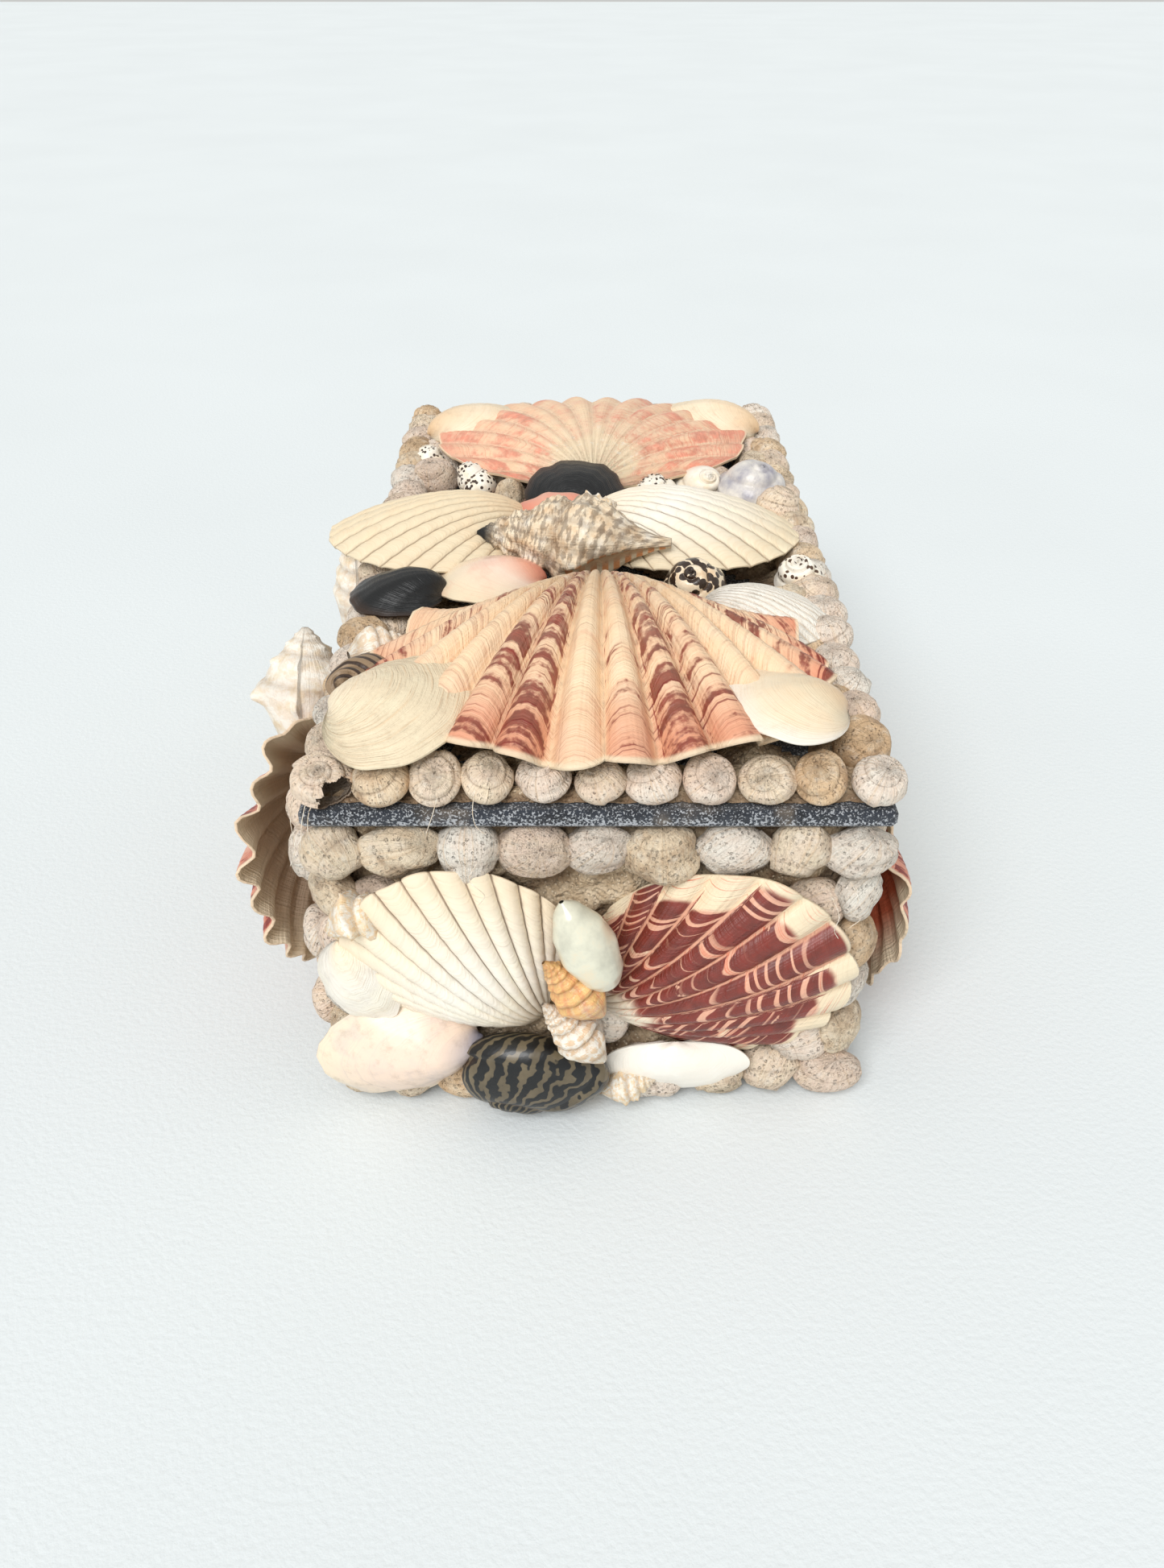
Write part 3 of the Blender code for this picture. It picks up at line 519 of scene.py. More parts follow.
# Finishes
class Recipe:
    """A finish, mixed one step at a time from procedural nodes."""

    def __init__(self, name, **constants):
        self.material = bpy.data.materials.new(name)
        self.material.use_nodes = True
        self.tree = self.material.node_tree
        self.shader = self.tree.nodes["Principled BSDF"]
        for socket, value in constants.items():
            self.shader.inputs[socket.replace("_", " ")].default_value = value
        self.object = self.step("ShaderNodeTexCoord").outputs["Object"]

    def step(self, kind, feeds=None, **settings):
        node = self.tree.nodes.new(kind)
        for key, value in settings.items():
            setattr(node, key, value)
        for socket, feed in (feeds or {}).items():
            if isinstance(feed, bpy.types.NodeSocket):
                self.tree.links.new(feed, node.inputs[socket])
            elif feed is not None:
                node.inputs[socket].default_value = feed
        return node

    def known(self, name):
        """What the shell form says at each point, such as how far it is along the growth."""
        return self.step("ShaderNodeAttribute", attribute_name=name).outputs["Fac"]

    def sums(self, operation, first, second=0.0):
        return self.step("ShaderNodeMath", {0: first, 1: second}, operation=operation).outputs[0]

    def times(self, first, second):
        return self.sums("MULTIPLY", first, second)

    def plus(self, first, second):
        return self.sums("ADD", first, second)

    def less_one(self, value):
        return self.sums("SUBTRACT", 1.0, value)

    def place(self, x=0.0, y=0.0, z=0.0):
        return self.step("ShaderNodeCombineXYZ", {0: x, 1: y, 2: z}).outputs[0]

    def noise(self, per_metre, detail=3.0, roughness=0.55, at=None):
        feeds = {"Vector": at or self.object, "Scale": per_metre, "Detail": detail, "Roughness": roughness}
        return self.step("ShaderNodeTexNoise", feeds).outputs["Fac"]

    def cells(self, per_metre):
        """How far each point is from the middle of its cell."""
        feeds = {"Vector": self.object, "Scale": per_metre}
        return self.step("ShaderNodeTexVoronoi", feeds).outputs["Distance"]

    def band(self, value, low, high):
        """0 below low, 1 above high and smooth between, or the other way round if low is the larger."""
        feeds = {"Value": value, "From Min": min(low, high), "From Max": max(low, high)}
        feeds.update({"To Min": 0.0 if low < high else 1.0, "To Max": 1.0 if low < high else 0.0})
        return self.step("ShaderNodeMapRange", feeds, interpolation_type="SMOOTHSTEP").outputs[0]

    def ramp(self, value, *stops):
        node = self.step("ShaderNodeValToRGB", {"Fac": value})
        bar = node.color_ramp.elements
        while len(bar) < len(stops):
            bar.new(0.5)
        for stop, (at, colour) in zip(bar, stops):
            stop.position = at
            stop.color = (*colour, 1.0)
        return node.outputs["Color"]

    def mix(self, share, first, second):
        first, second = (c if isinstance(c, bpy.types.NodeSocket) else (*c, 1.0) for c in (first, second))
        feeds = {0: share, 6: first, 7: second}
        return self.step("ShaderNodeMix", feeds, data_type="RGBA").outputs[2]

    def bump(self, height, distance, under=None):
        feeds = {"Height": height, "Distance": distance, "Strength": 1.0, "Normal": under}
        return self.step("ShaderNodeBump", feeds).outputs["Normal"]

    def done(self, colour, roughness, normal):
        links = self.tree.links
        links.new(colour, self.shader.inputs["Base Color"])
        links.new(roughness, self.shader.inputs["Roughness"])
        links.new(normal, self.shader.inputs["Normal"])
        return self.material


def spread(recipe, value, low, high):
    """A roughness between low and high that follows value."""
    feeds = {"Value": value, "To Min": low, "To Max": high}
    return recipe.step("ShaderNodeMapRange", feeds).outputs[0]


def winding(recipe):
    """How near each point of a snail's shell is to its seam, and its growth streaks."""
    side, ahead, ring = (recipe.known(name) for name in ("turn_x", "turn_y", "ring"))
    angle = recipe.times(recipe.sums("ARCTAN2", ahead, side), -1 / (2 * math.pi))
    lap = recipe.plus(recipe.plus(ring, angle), LAP_START)
    apart = recipe.sums("ABSOLUTE", recipe.sums("SUBTRACT", recipe.sums("FRACT", lap), 0.5))
    seam = recipe.times(recipe.band(apart, 0.44, 0.5), recipe.band(recipe.known("around"), 0.5, 0.4))
    streaks = recipe.noise(
        1.0, 3, 0.6,
        at=recipe.place(recipe.times(side, 9), recipe.times(ahead, 9), recipe.times(recipe.known("tint"), 40))
    )
    return seam, streaks


def flocked_board(colours):
    """Blue-black flock with a glitter of light fibres, rubbed paler along the edges."""
    mix = Recipe("flocked board", Sheen_Weight=0.15, Sheen_Roughness=0.6)
    cloud = mix.noise(240, 4)
    dark = mix.ramp(cloud, (0.3, scaled(colours.flock, 0.4)), (0.7, scaled(colours.flock, 1.4)))
    salt = mix.noise(2300, 2, 0.5)
    thick = mix.band(mix.noise(330, 4, 0.6), 0.36, 0.66)
    low = mix.step("ShaderNodeSeparateXYZ", {0: mix.object}).outputs[2]
    low = mix.band(low, LID_HIGH.z - 0.0012, LID_HIGH.z - 0.0026)
    flecks = mix.band(mix.plus(salt, mix.times(mix.plus(thick, low), 0.07)), 0.56, 0.68)
    colour = mix.mix(mix.times(flecks, 0.85), dark, colours.fleck)
    dusty = mix.times(mix.band(mix.noise(90, 5), 0.5, 0.75), 0.25)
    colour = mix.mix(dusty, colour, colours.sand)
    normal = mix.bump(salt, 0.0006, mix.bump(mix.noise(420, 4), 0.0009))
    return mix.done(colour, spread(mix, flecks, 0.9, 0.5), normal)


def sandy_crust(colours):
    """Old glue full of sand, dust and shell grit."""
    mix = Recipe("sandy crust")
    cloud = mix.noise(170, 5, 0.6)
    colour = mix.ramp(cloud, (0.25, colours.grime_and_shade), (0.48, colours.sand), (0.8, colours.bone))
    grit = mix.cells(1100)
    colour = mix.mix(mix.band(grit, 0.34, 0.12), colour, colours.bone)
    # Darker where the glue lies thin, in its dips and towards its edges
    colour = mix.mix(mix.times(mix.band(mix.known("lump"), 0.55, 0.1), 0.65), colour, colours.grime_and_shade)
    normal = mix.bump(mix.noise(380, 5, 0.7), 0.0016)
    normal = mix.bump(grit, 0.0005, normal)
    return mix.done(colour, spread(mix, cloud, 0.8, 0.97), normal)


def thread_finish(colours):
    """Pale loose strings of dried glue."""
    mix = Recipe("loose threads", Sheen_Weight=0.2)
    cloud = mix.noise(900, 2)
    return mix.done(
        mix.ramp(cloud, (0.3, colours.sand), (0.7, colours.chalk)), spread(mix, cloud, 0.6, 0.8),
        mix.bump(cloud, 0.0001)
    )


def bleached_snail(colours, name="bleached snail", spots=0.75, pits=1.0, seam_shade=0.42):
    """Beach-worn snail shell: chalky, pitted and freckled brown, with painted shade and dust in its seam and
    at its foot.
    """
    mix = Recipe(name)
    tint = mix.known("tint")
    seam, streaks = winding(mix)
    cloud = mix.noise(230, 4, 0.6)
    ground = mix.ramp(
        mix.plus(mix.times(cloud, 0.4), mix.times(tint, 0.62)),
        (0.20, colours.tan), (0.40, colours.bone), (0.62, colours.mauve), (0.86, colours.chalk),
    )
    ground = mix.mix(mix.times(mix.band(streaks, 0.5, 0.68), 0.45), ground, colours.tan)
    worn = mix.band(mix.noise(430, 4, 0.65), 0.5, 0.7)
    ground = mix.mix(mix.times(worn, 0.35), ground, colours.chalk)
    sooty = mix.times(mix.band(mix.noise(140, 4, 0.65), 0.5, 0.66), mix.band(tint, 0.65, 0.2))
    ground = mix.mix(mix.times(sooty, 0.5), ground, scaled(colours.grime_and_shade, 1.5))
    dots = mix.band(mix.plus(mix.cells(1150), mix.times(mix.noise(2400, 2), 0.12)), 0.36, 0.2)
    dots = mix.times(dots, mix.band(mix.noise(190, 3), 0.44, 0.64))
    ground = mix.mix(mix.times(dots, spots), ground, scaled(colours.umber_and_shade, 1.6))
    grit = mix.band(mix.noise(2100, 3, 0.7), 0.54, 0.64)
    ground = mix.mix(mix.times(grit, 0.18 * spots), ground, colours.grime_and_shade)
    # Darker towards the foot, where the shell meets the glue: painted shade, mixed with dust
    foot_dust_and_shade = mix.band(mix.plus(mix.known("height"), mix.times(cloud, 0.4)), 0.5, 0.12)
    ground = mix.mix(mix.times(foot_dust_and_shade, 0.5), ground, colours.grime_and_shade)
    # Painted shade, mixed with dust, along the seam between the whorls
    ground = mix.mix(mix.times(seam, seam_shade), ground, colours.grime_and_shade)
    # The inside of a hole is painted dark brown as shade
    ground = mix.mix(mix.known("mouth"), ground, scaled(colours.umber_and_shade, 0.5))
    normal = mix.bump(streaks, 0.0007)
    normal = mix.bump(mix.band(mix.cells(900), 0.0, 0.42), 0.0004 * pits, normal)
    normal = mix.bump(mix.noise(1500, 4, 0.7), 0.0004 * pits, normal)
    return mix.done(ground, spread(mix, cloud, 0.62, 0.9), normal)


# How far growth lines bow at each rib, as a share of the growth, and how many a scallop has
GROWTH_BOW = 0.05
SCALLOP_LINES = 90


def valve_finish(
    name, colours, ground, inside, groove=None, groove_share=0.4, lines=60, line_share=0.15,
    line_colour=None, rays=0, ray_share=0.0, dust=0.25, rough=(0.35, 0.6), relief=0.00025, coat=0.0,
):
    """A clam, cockle or ark shell. ground gives colours along the growth, from the hinge to the edge.

    groove tints the hollows between ribs, and in the brown dust colour it is painted shade as well as dust;
    line_colour tints the fine growth lines, and rays is how many fine stripes fan out from the hinge.
    """
    mix = Recipe(name, Coat_Weight=coat, Coat_Roughness=0.2)
    across, along, crest = mix.known("across"), mix.known("along"), mix.known("crest")
    cloud = mix.noise(120, 4, 0.6)
    wander = mix.times(mix.sums("SUBTRACT", mix.noise(45, 2), 0.5), 0.12)
    colour = mix.ramp(mix.plus(along, wander), *ground)
    colour = mix.mix(mix.times(mix.band(cloud, 0.45, 0.7), 0.25), colour, scaled(ground[0][1], 1.25))
    bowed = mix.plus(along, mix.times(mix.less_one(crest), -GROWTH_BOW))
    growth = mix.noise(1.0, 3, 0.6, at=mix.place(mix.times(across, 2.5), mix.times(bowed, lines), 0.0))
    if groove is not None:
        # The tint between the ribs; in the brown dust colour it is painted shade as well as dust
        colour = mix.mix(mix.times(mix.band(crest, 0.45, 0.02), groove_share), colour, groove)
    if line_colour is not None:
        colour = mix.mix(mix.times(mix.band(growth, 0.52, 0.66), line_share), colour, line_colour)
    if rays:
        fine = mix.noise(1.0, 2, at=mix.place(mix.times(across, rays), mix.times(along, 1.5), 1.0))
        colour = mix.mix(mix.times(mix.band(fine, 0.5, 0.66), ray_share), colour, colours.chalk)
    # Dust in patches, strongest in the grooves between ribs, where it also stands as painted shade
    if dust:
        grime_and_shade = mix.times(mix.band(mix.noise(330, 5, 0.7), 0.48, 0.75), mix.band(crest, 1.0, 0.0))
        colour = mix.mix(mix.times(grime_and_shade, dust), colour, colours.grime_and_shade)
    inner = mix.ramp(mix.plus(along, wander), (0.3, scaled(inside, 1.15)), (0.9, inside))
    colour = mix.mix(mix.band(mix.known("inside"), 0.6, 1.0), colour, inner)
    normal = mix.bump(growth, relief)
    if rays:
        normal = mix.bump(fine, relief * 0.9, normal)
    normal = mix.bump(mix.noise(900, 4, 0.65), relief * 0.35, normal)
    return mix.done(
        colour, spread(mix, mix.plus(mix.times(cloud, 0.6), mix.times(growth, 0.4)), *rough), normal
    )


def scallop_finish(
    name, colours, ground, stain, halo, inside, start=0.0, end=1.1, cover=0.5, marks=26.0, arc=0.02,
    line_share=0.4, line_colour=None, groove=None, groove_share=0.3, rim=None, rim_share=0.6, worn=0.5,
    dust=0.3, rough=(0.35, 0.6), relief=0.0003, coat=0.0, seed=1.0, softness=0.035, faded=None,
    umbo_dust_and_shade=0.0, crescents=0, channel=(0.06, 0.2),
):
    """A scallop whose ribs carry blotches broken by pale crescents.

    The blotches lie between start and end of the growth and take about that cover of a fully stained rib,
    with edges of that softness. halo is the colour round them, which starts out faded, and rim the one
    towards the shell's edge. crescents is how many thin pale arcs may cross each rib, and channel how wide
    the grooves stay clear.
    """
    mix = Recipe(name, Coat_Weight=coat, Coat_Roughness=0.25)
    across, along, crest, rib, stained = (mix.known(n) for n in ("across", "along", "crest", "rib", "stain"))
    wander = mix.times(mix.sums("SUBTRACT", mix.noise(60, 3), 0.5), 0.10)
    cloud = mix.noise(130, 5, 0.62)
    colour = mix.ramp(mix.plus(along, wander), *ground)
    colour = mix.mix(mix.times(mix.band(cloud, 0.42, 0.66), 0.35), colour, colours.bone)
    bowed = mix.plus(mix.plus(along, mix.times(crest, arc)), mix.times(wander, 0.12))
    lane = mix.place(mix.plus(mix.times(rib, 3.37), mix.times(crest, 0.45)), mix.times(bowed, marks), seed)
    blotch = mix.noise(1.0, 1, 0.5, at=lane)
    lane = mix.place(mix.plus(mix.times(rib, 5.71), crest), mix.times(bowed, marks * 3.1), seed + 4)
    blotch = mix.plus(mix.times(blotch, 0.8), mix.times(mix.noise(1.0, 1, 0.5, at=lane), 0.25))
    blotch = mix.plus(blotch, mix.times(mix.sums("SUBTRACT", stained, 1.0), 0.24))
    blotch = mix.plus(blotch, mix.times(mix.sums("SUBTRACT", mix.noise(620, 3, 0.6), 0.5), 0.16 + softness))
    uneven = mix.times(
        mix.sums("SUBTRACT", mix.noise(1.0, 1, at=mix.place(mix.times(rib, 1.7), seed)), 0.5), 0.35
    )
    near = mix.plus(mix.plus(along, wander), uneven)
    far = mix.sums("SUBTRACT", near, mix.times(mix.band(stained, 1.12, 1.3), 0.25))
    reach = mix.times(mix.band(near, start - 0.03, start + 0.04), mix.band(far, end + 0.015, end - 0.015))
    level = 0.625 - cover * 0.2
    growth = mix.noise(
        1.0, 2, 0.6, at=mix.place(mix.times(across, 2.0), mix.times(bowed, SCALLOP_LINES), seed + 2)
    )
    coloured = mix.plus(0.3, mix.times(mix.band(stained, 0.15, 0.95), 0.7))
    if rim is not None:
        rimmed = mix.band(mix.plus(mix.plus(along, wander), mix.times(growth, 0.12)), 0.80, 1.04)
        colour = mix.mix(mix.times(mix.times(rimmed, coloured), rim_share), colour, rim)
    if groove is not None:
        colour = mix.mix(mix.times(mix.band(crest, 0.5, 0.05), groove_share), colour, groove)
    # Darker grooves near the hinge: painted shade, mixed with dust
    if umbo_dust_and_shade:
        early = mix.times(mix.band(crest, 0.55, 0.1), mix.band(along, 0.5, 0.25))
        colour = mix.mix(mix.times(early, umbo_dust_and_shade), colour, colours.grime_and_shade)
    if faded is not None:
        halo = mix.ramp(mix.plus(along, wander), (0.45, faded), (0.72, halo))
    soft = mix.times(mix.band(blotch, level - 0.08 - softness, level + softness), reach)
    colour = mix.mix(mix.times(soft, 0.62), colour, halo)
    if line_colour is not None:
        lined = mix.times(mix.band(growth, 0.54, 0.64), mix.band(mix.noise(75, 2), 0.38, 0.56))
        colour = mix.mix(mix.times(mix.times(lined, coloured), line_share), colour, line_colour)
    dark = mix.times(mix.times(mix.band(blotch, level, level + softness), reach), mix.band(crest, *channel))
    if crescents:
        jog = mix.noise(1.0, 2, at=mix.place(mix.times(rib, 2.9), mix.times(along, 4), seed + 9))
        step = mix.plus(mix.plus(mix.times(bowed, crescents), mix.times(jog, 5.0)), mix.times(rib, 0.61))
        thin = mix.sums("ABSOLUTE", mix.sums("SUBTRACT", mix.sums("FRACT", step), 0.5))
        some = mix.band(
            mix.noise(1.0, 1, at=mix.place(mix.times(rib, 5.3), mix.times(bowed, crescents * 0.45), seed)),
            0.42, 0.52
        )
        swollen = mix.noise(
            1.0, 1, at=mix.place(mix.times(rib, 7.1), mix.times(bowed, crescents * 0.3), seed + 3)
        )
        thin = mix.plus(thin, mix.times(mix.sums("SUBTRACT", swollen, 0.5), 0.7))
        dark = mix.times(dark, mix.less_one(mix.times(mix.band(thin, 0.17, 0.10), some)))
    shade = mix.ramp(mix.noise(300, 4), (0.3, scaled(stain, 0.75)), (0.7, scaled(stain, 1.5)))
    colour = mix.mix(mix.times(dark, 1 - softness * 1.5), colour, shade)
    if worn:
        rubbed = mix.times(mix.band(mix.noise(260, 5, 0.7), 0.46, 0.6), mix.band(along, 0.72, 0.25))
        colour = mix.mix(mix.times(rubbed, worn), colour, between(colours.bone, colours.tan))
        chipped = mix.times(mix.band(mix.noise(420, 5, 0.7), 0.57, 0.62), mix.band(along, 0.42, 0.15))
        colour = mix.mix(mix.times(chipped, worn), colour, colours.chalk)
    # Dust in patches, strongest in the grooves between ribs, where it also stands as painted shade
    if dust:
        grime_and_shade = mix.times(mix.band(mix.noise(330, 5, 0.7), 0.45, 0.75), mix.band(crest, 0.9, 0.0))
        colour = mix.mix(mix.times(grime_and_shade, dust), colour, colours.grime_and_shade)
    colour = mix.mix(mix.times(mix.band(along, 0.982, 0.995), 0.8), colour, colours.ivory)
    inner = mix.ramp(mix.plus(along, wander), (0.3, inside), (0.75, inside), (0.95, colours.bone))
    colour = mix.mix(mix.band(mix.known("inside"), 0.5, 0.9), colour, inner)
    normal = mix.bump(growth, relief)
    normal = mix.bump(
        mix.noise(1.0, 1, at=mix.place(mix.times(across, 210), mix.times(along, 2), seed)), relief * 0.8,
        normal
    )
    normal = mix.bump(mix.noise(950, 4, 0.65), relief * 0.4, normal)
    return mix.done(
        colour, spread(mix, mix.plus(mix.times(cloud, 0.6), mix.times(growth, 0.4)), *rough), normal
    )


def coil_finish(
    name, colours, ground, spot=None, spot_size=520, spot_level=0.3, stripe=None, stripes=18,
    stripe_width=0.2, stripe_wander=1.6, band=None, bands=5, band_share=0.6, rough=(0.25, 0.5), coat=0.3,
    relief=0.0002, dust=0.25, seam_shade_share=0.35,
):
    """A nerite, moon shell or top shell. spot, stripe and band are colours of its markings."""
    mix = Recipe(name, Coat_Weight=coat, Coat_Roughness=0.12)
    seam, streaks = winding(mix)
    cloud = mix.noise(170, 4, 0.6)
    colour = mix.ramp(cloud, (0.3, ground[0]), (0.52, ground[1]), (0.75, ground[2]))
    if band is not None:
        cord = mix.sums(
            "FRACT", mix.plus(mix.times(mix.known("around"), bands), mix.times(mix.noise(300, 2), 0.4))
        )
        cord = mix.band(mix.sums("ABSOLUTE", mix.sums("SUBTRACT", cord, 0.5)), 0.36, 0.22)
        colour = mix.mix(mix.times(cord, band_share), colour, band)
    if stripe is not None:
        angle = mix.sums("ARCTAN2", mix.known("turn_y"), mix.known("turn_x"))
        bent = mix.plus(
            mix.times(angle, stripes / (2 * math.pi)), mix.times(mix.noise(230, 2, 0.5), stripe_wander * 2)
        )
        wave = mix.sums("ABSOLUTE", mix.sums("SUBTRACT", mix.sums("FRACT", bent), 0.5))
        colour = mix.mix(mix.band(wave, stripe_width + 0.04, stripe_width - 0.04), colour, stripe)
    if spot is not None:
        ragged = mix.plus(mix.cells(spot_size), mix.times(mix.noise(1500, 3), 0.12))
        colour = mix.mix(mix.band(ragged, spot_level + 0.05, spot_level), colour, spot)
    # Darker towards the foot, as much as dust says: painted shade, mixed with dust
    if dust:
        grime_and_shade = mix.band(mix.plus(mix.known("height"), mix.times(cloud, 0.4)), 0.45, 0.15)
        colour = mix.mix(mix.times(grime_and_shade, dust), colour, colours.grime_and_shade)
    # Painted shade, mixed with dust, along the seam between the whorls
    colour = mix.mix(mix.times(seam, seam_shade_share), colour, colours.grime_and_shade)
    # The inside of a hole is painted dark brown as shade
    colour = mix.mix(mix.known("mouth"), colour, scaled(colours.umber_and_shade, 0.4))
    normal = mix.bump(streaks, relief)
    normal = mix.bump(mix.noise(1300, 4, 0.65), relief * 0.5, normal)
    return mix.done(colour, spread(mix, cloud, *rough), normal)


def spindle_finish(
    name, colours, ground, dark, dark_share=0.7, rows=1.0, rough=(0.45, 0.75), mouth=None, tip=None, coat=0.0,
    lip=None,
):
    """A whelk or triton, its cords and ribs marked in rows. lip colours the toothed rim of its opening, and
    mouth its inside, which unless given is painted dark brown as shade.
    """
    mix = Recipe(name, Coat_Weight=coat)
    whorl, along, around, crest = (mix.known(n) for n in ("whorl", "along", "around", "crest"))
    cloud = mix.noise(260, 4, 0.6)
    colour = mix.ramp(cloud, (0.3, ground[0]), (0.52, ground[1]), (0.75, ground[2]))
    marks = mix.noise(
        1.0, 3, 0.6, at=mix.place(mix.times(around, 22), mix.times(whorl, 9 * rows), mix.times(along, 6))
    )
    marks = mix.band(mix.plus(marks, mix.times(mix.known("cord"), 0.14)), 0.52, 0.64)
    colour = mix.mix(mix.times(marks, dark_share), colour, dark)
    colour = mix.mix(mix.times(mix.band(crest, 0.3, 0.0), 0.3), colour, dark)
    # Painted shade, mixed with dust, along the seam between the whorls
    colour = mix.mix(mix.times(mix.known("seam"), 0.45), colour, colours.grime_and_shade)
    if tip is not None:
        colour = mix.mix(mix.band(along, 0.86, 0.97), colour, tip)
    # Darker towards the foot: painted shade, mixed with dust
    grime_and_shade = mix.band(mix.plus(mix.known("height"), mix.times(cloud, 0.4)), 0.5, 0.15)
    colour = mix.mix(mix.times(grime_and_shade, 0.3), colour, colours.grime_and_shade)
    if lip is not None:
        teeth = mix.sums("SINE", mix.times(along, 110))
        toothed = mix.mix(mix.band(teeth, -0.2, 0.5), lip, colours.ivory)
        colour = mix.mix(mix.band(mix.known("mouth"), 0.10, 0.22), colour, toothed)
    # Inside the opening; the dark brown it gets by default is painted shade
    colour = mix.mix(mix.band(mix.known("mouth"), 0.45, 0.9), colour, mouth or scaled(colours.umber_and_shade, 0.4))
    normal = mix.bump(mix.noise(900, 4, 0.65), 0.0003)
    normal = mix.bump(
        mix.noise(1.0, 2, at=mix.place(mix.times(around, 90), mix.times(along, 4), 0.0)), 0.00025, normal
    )
    return mix.done(colour, spread(mix, cloud, *rough), normal)


def seed_of(name):
    """The same number for the same name, run after run."""
    return sum(ord(letter) * (place + 1) for place, letter in enumerate(name))


def lay_valve(node, slot, finish, place, width, length, flatness, **form):
    """Lays a valve that stands for that solid."""
    heap = Heap()
    add_valve(heap, place, width, length, flatness, seed=seed_of(node), **form)
    heap.piece(node + "_shell", finish, slot, node)


def lay_dome(node, slot, finish, place, size, turn=(0, 0, 0), **form):
    """Lays a coiled shell that stands for that solid, turned about X, Y and Z by those degrees."""
    heap = Heap()
    turned = Matrix.Identity(3)
    for axis, angle in zip("XYZ", turn):
        turned = Matrix.Rotation(math.radians(angle), 3, axis) @ turned
    add_snail(
        heap, place, size, turned, seed=seed_of(node), **{"rows": 48, "columns": 64, "lumps": 0.02, **form}
    )
    heap.piece(node + "_shell", finish, slot, node)


def lay_spindle(node, slot, finish, place, length, girth, profile, **form):
    """Lays a spired shell that stands for that solid."""
    heap = Heap()
    add_spindle(heap, place, length, girth, profile, seed=seed_of(node), **form)
    heap.piece(node + "_shell", finish, slot, node)


def random_turn(draw, tilt, lean=(0, 0)):
    """A snail's pose: turned anyhow on its own axis, tilted by up to tilt degrees, and leaning that way."""
    about = Matrix.Rotation(draw.uniform(0, 2 * math.pi), 3, "Z")
    over = Matrix.Rotation(math.radians(draw.uniform(-tilt, tilt) - lean[1]), 3, "X")
    aside = Matrix.Rotation(math.radians(draw.uniform(-tilt, tilt) + lean[0]), 3, "Y")
    return aside @ over @ about


def snail_row(
    node, finish, sizes, face, start, end, tilt, tallness=(0.92, 1.06), swell=(0.98, 1.1), broken=(),
    peak=(0.1, 0.3), boxy=(0.75, 0.95), stretch=1.0, uneven=0.1, lean=(0, 0), wide=1.0, lumps=0.03, rows=16,
    seam_depth=0.12,
):
    """A row of snails from start to end, both (across, up). Those numbered in broken have a hole."""
    draw = random.Random(seed_of(node))
    heap = Heap()
    start, end = Vector(start), Vector(end)
    pitch, width, depth = (v / PART for v in (sizes.snail_pitch, sizes.snail_width, sizes.snail_depth))
    count = max(1, round((end - start).length / (pitch * stretch)))
    turn = math.atan2((end - start).y, (end - start).x)
    shares = [draw.uniform(1 - uneven, 1 + uneven) for _ in range(count)]
    for number, share in enumerate(shares):
        at = start + (end - start) * ((sum(shares[:number]) + share / 2) / sum(shares))
        at += Vector((draw.uniform(-0.4, 0.4), draw.uniform(-0.5, 0.5)))
        length = (end - start).length * share / sum(shares)
        place = face @ Matrix.Translation((at.x * PART, at.y * PART, GAP)) @ Matrix.Rotation(turn, 4, "Z")
        size = (
            length * draw.uniform(*swell), width * wide * draw.uniform(0.93, 1.04),
            depth * draw.uniform(*tallness)
        )
        hole = number in broken
        add_snail(
            heap, place, [s * 1.12 for s in size] if hole else size,
            random_turn(draw, 8 if hole else tilt, lean), growth=draw.uniform(1.7, 2.2),
            peak=draw.uniform(*peak), boxy=draw.uniform(*boxy), lumps=lumps,
            tint=0.55 if hole else draw.random(), seed=draw.randrange(9999),
            broken=(0.62, -0.74, -0.25) if hole else None, rows=56 if hole else rows,
            columns=80 if hole else 26, seam_depth=seam_depth,
        )
    heap.piece(node + "_row", finish, "snail", node)


# The operators, one for each group of like pieces
class BoardFinish(bpy.types.Operator):
    """Gives the box and its lid their flocked finish"""

    bl_idname = "shell_box.board_finish"
    bl_label = "Flocked board"

    def execute(self, context):
        colours = context.scene.shell_box_colours
        finish = flocked_board(colours)
        for node in ("box", "lid"):
            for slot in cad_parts[node].material_slots:
                slot.material = finish
        return {"FINISHED"}


class LayCrust(bpy.types.Operator):
    """Spreads the sandy glue over the lid and the walls"""

    bl_idname = "shell_box.lay_crust"
    bl_label = "Sandy glue"

    def execute(self, context):
        sizes = context.scene.shell_box_sizes
        colours = context.scene.shell_box_colours
        finish = sandy_crust(colours)
        depth = sizes.crust_depth / PART
        heap = Heap()
        add_crust(
            heap, LID_FACE, (LEFT_EDGE + 3, FRONT_EDGE + 3), (RIGHT_EDGE - 3, BACK_EDGE - 3), depth, 11,
            bare=0.3
        )
        heap.piece("glue_on_lid", finish, "snail")
        for wall, face in WALLS.items():
            half = (HALF_WIDTH if wall in ("front", "back") else HALF_LENGTH) / PART
            heap = Heap()
            add_crust(heap, face, (-half, 1.0), (half, BOX_HIGH.z / PART - 0.6), depth, seed_of(wall))
            heap.piece(f"glue_on_{wall}", finish, "snail")
        return {"FINISHED"}


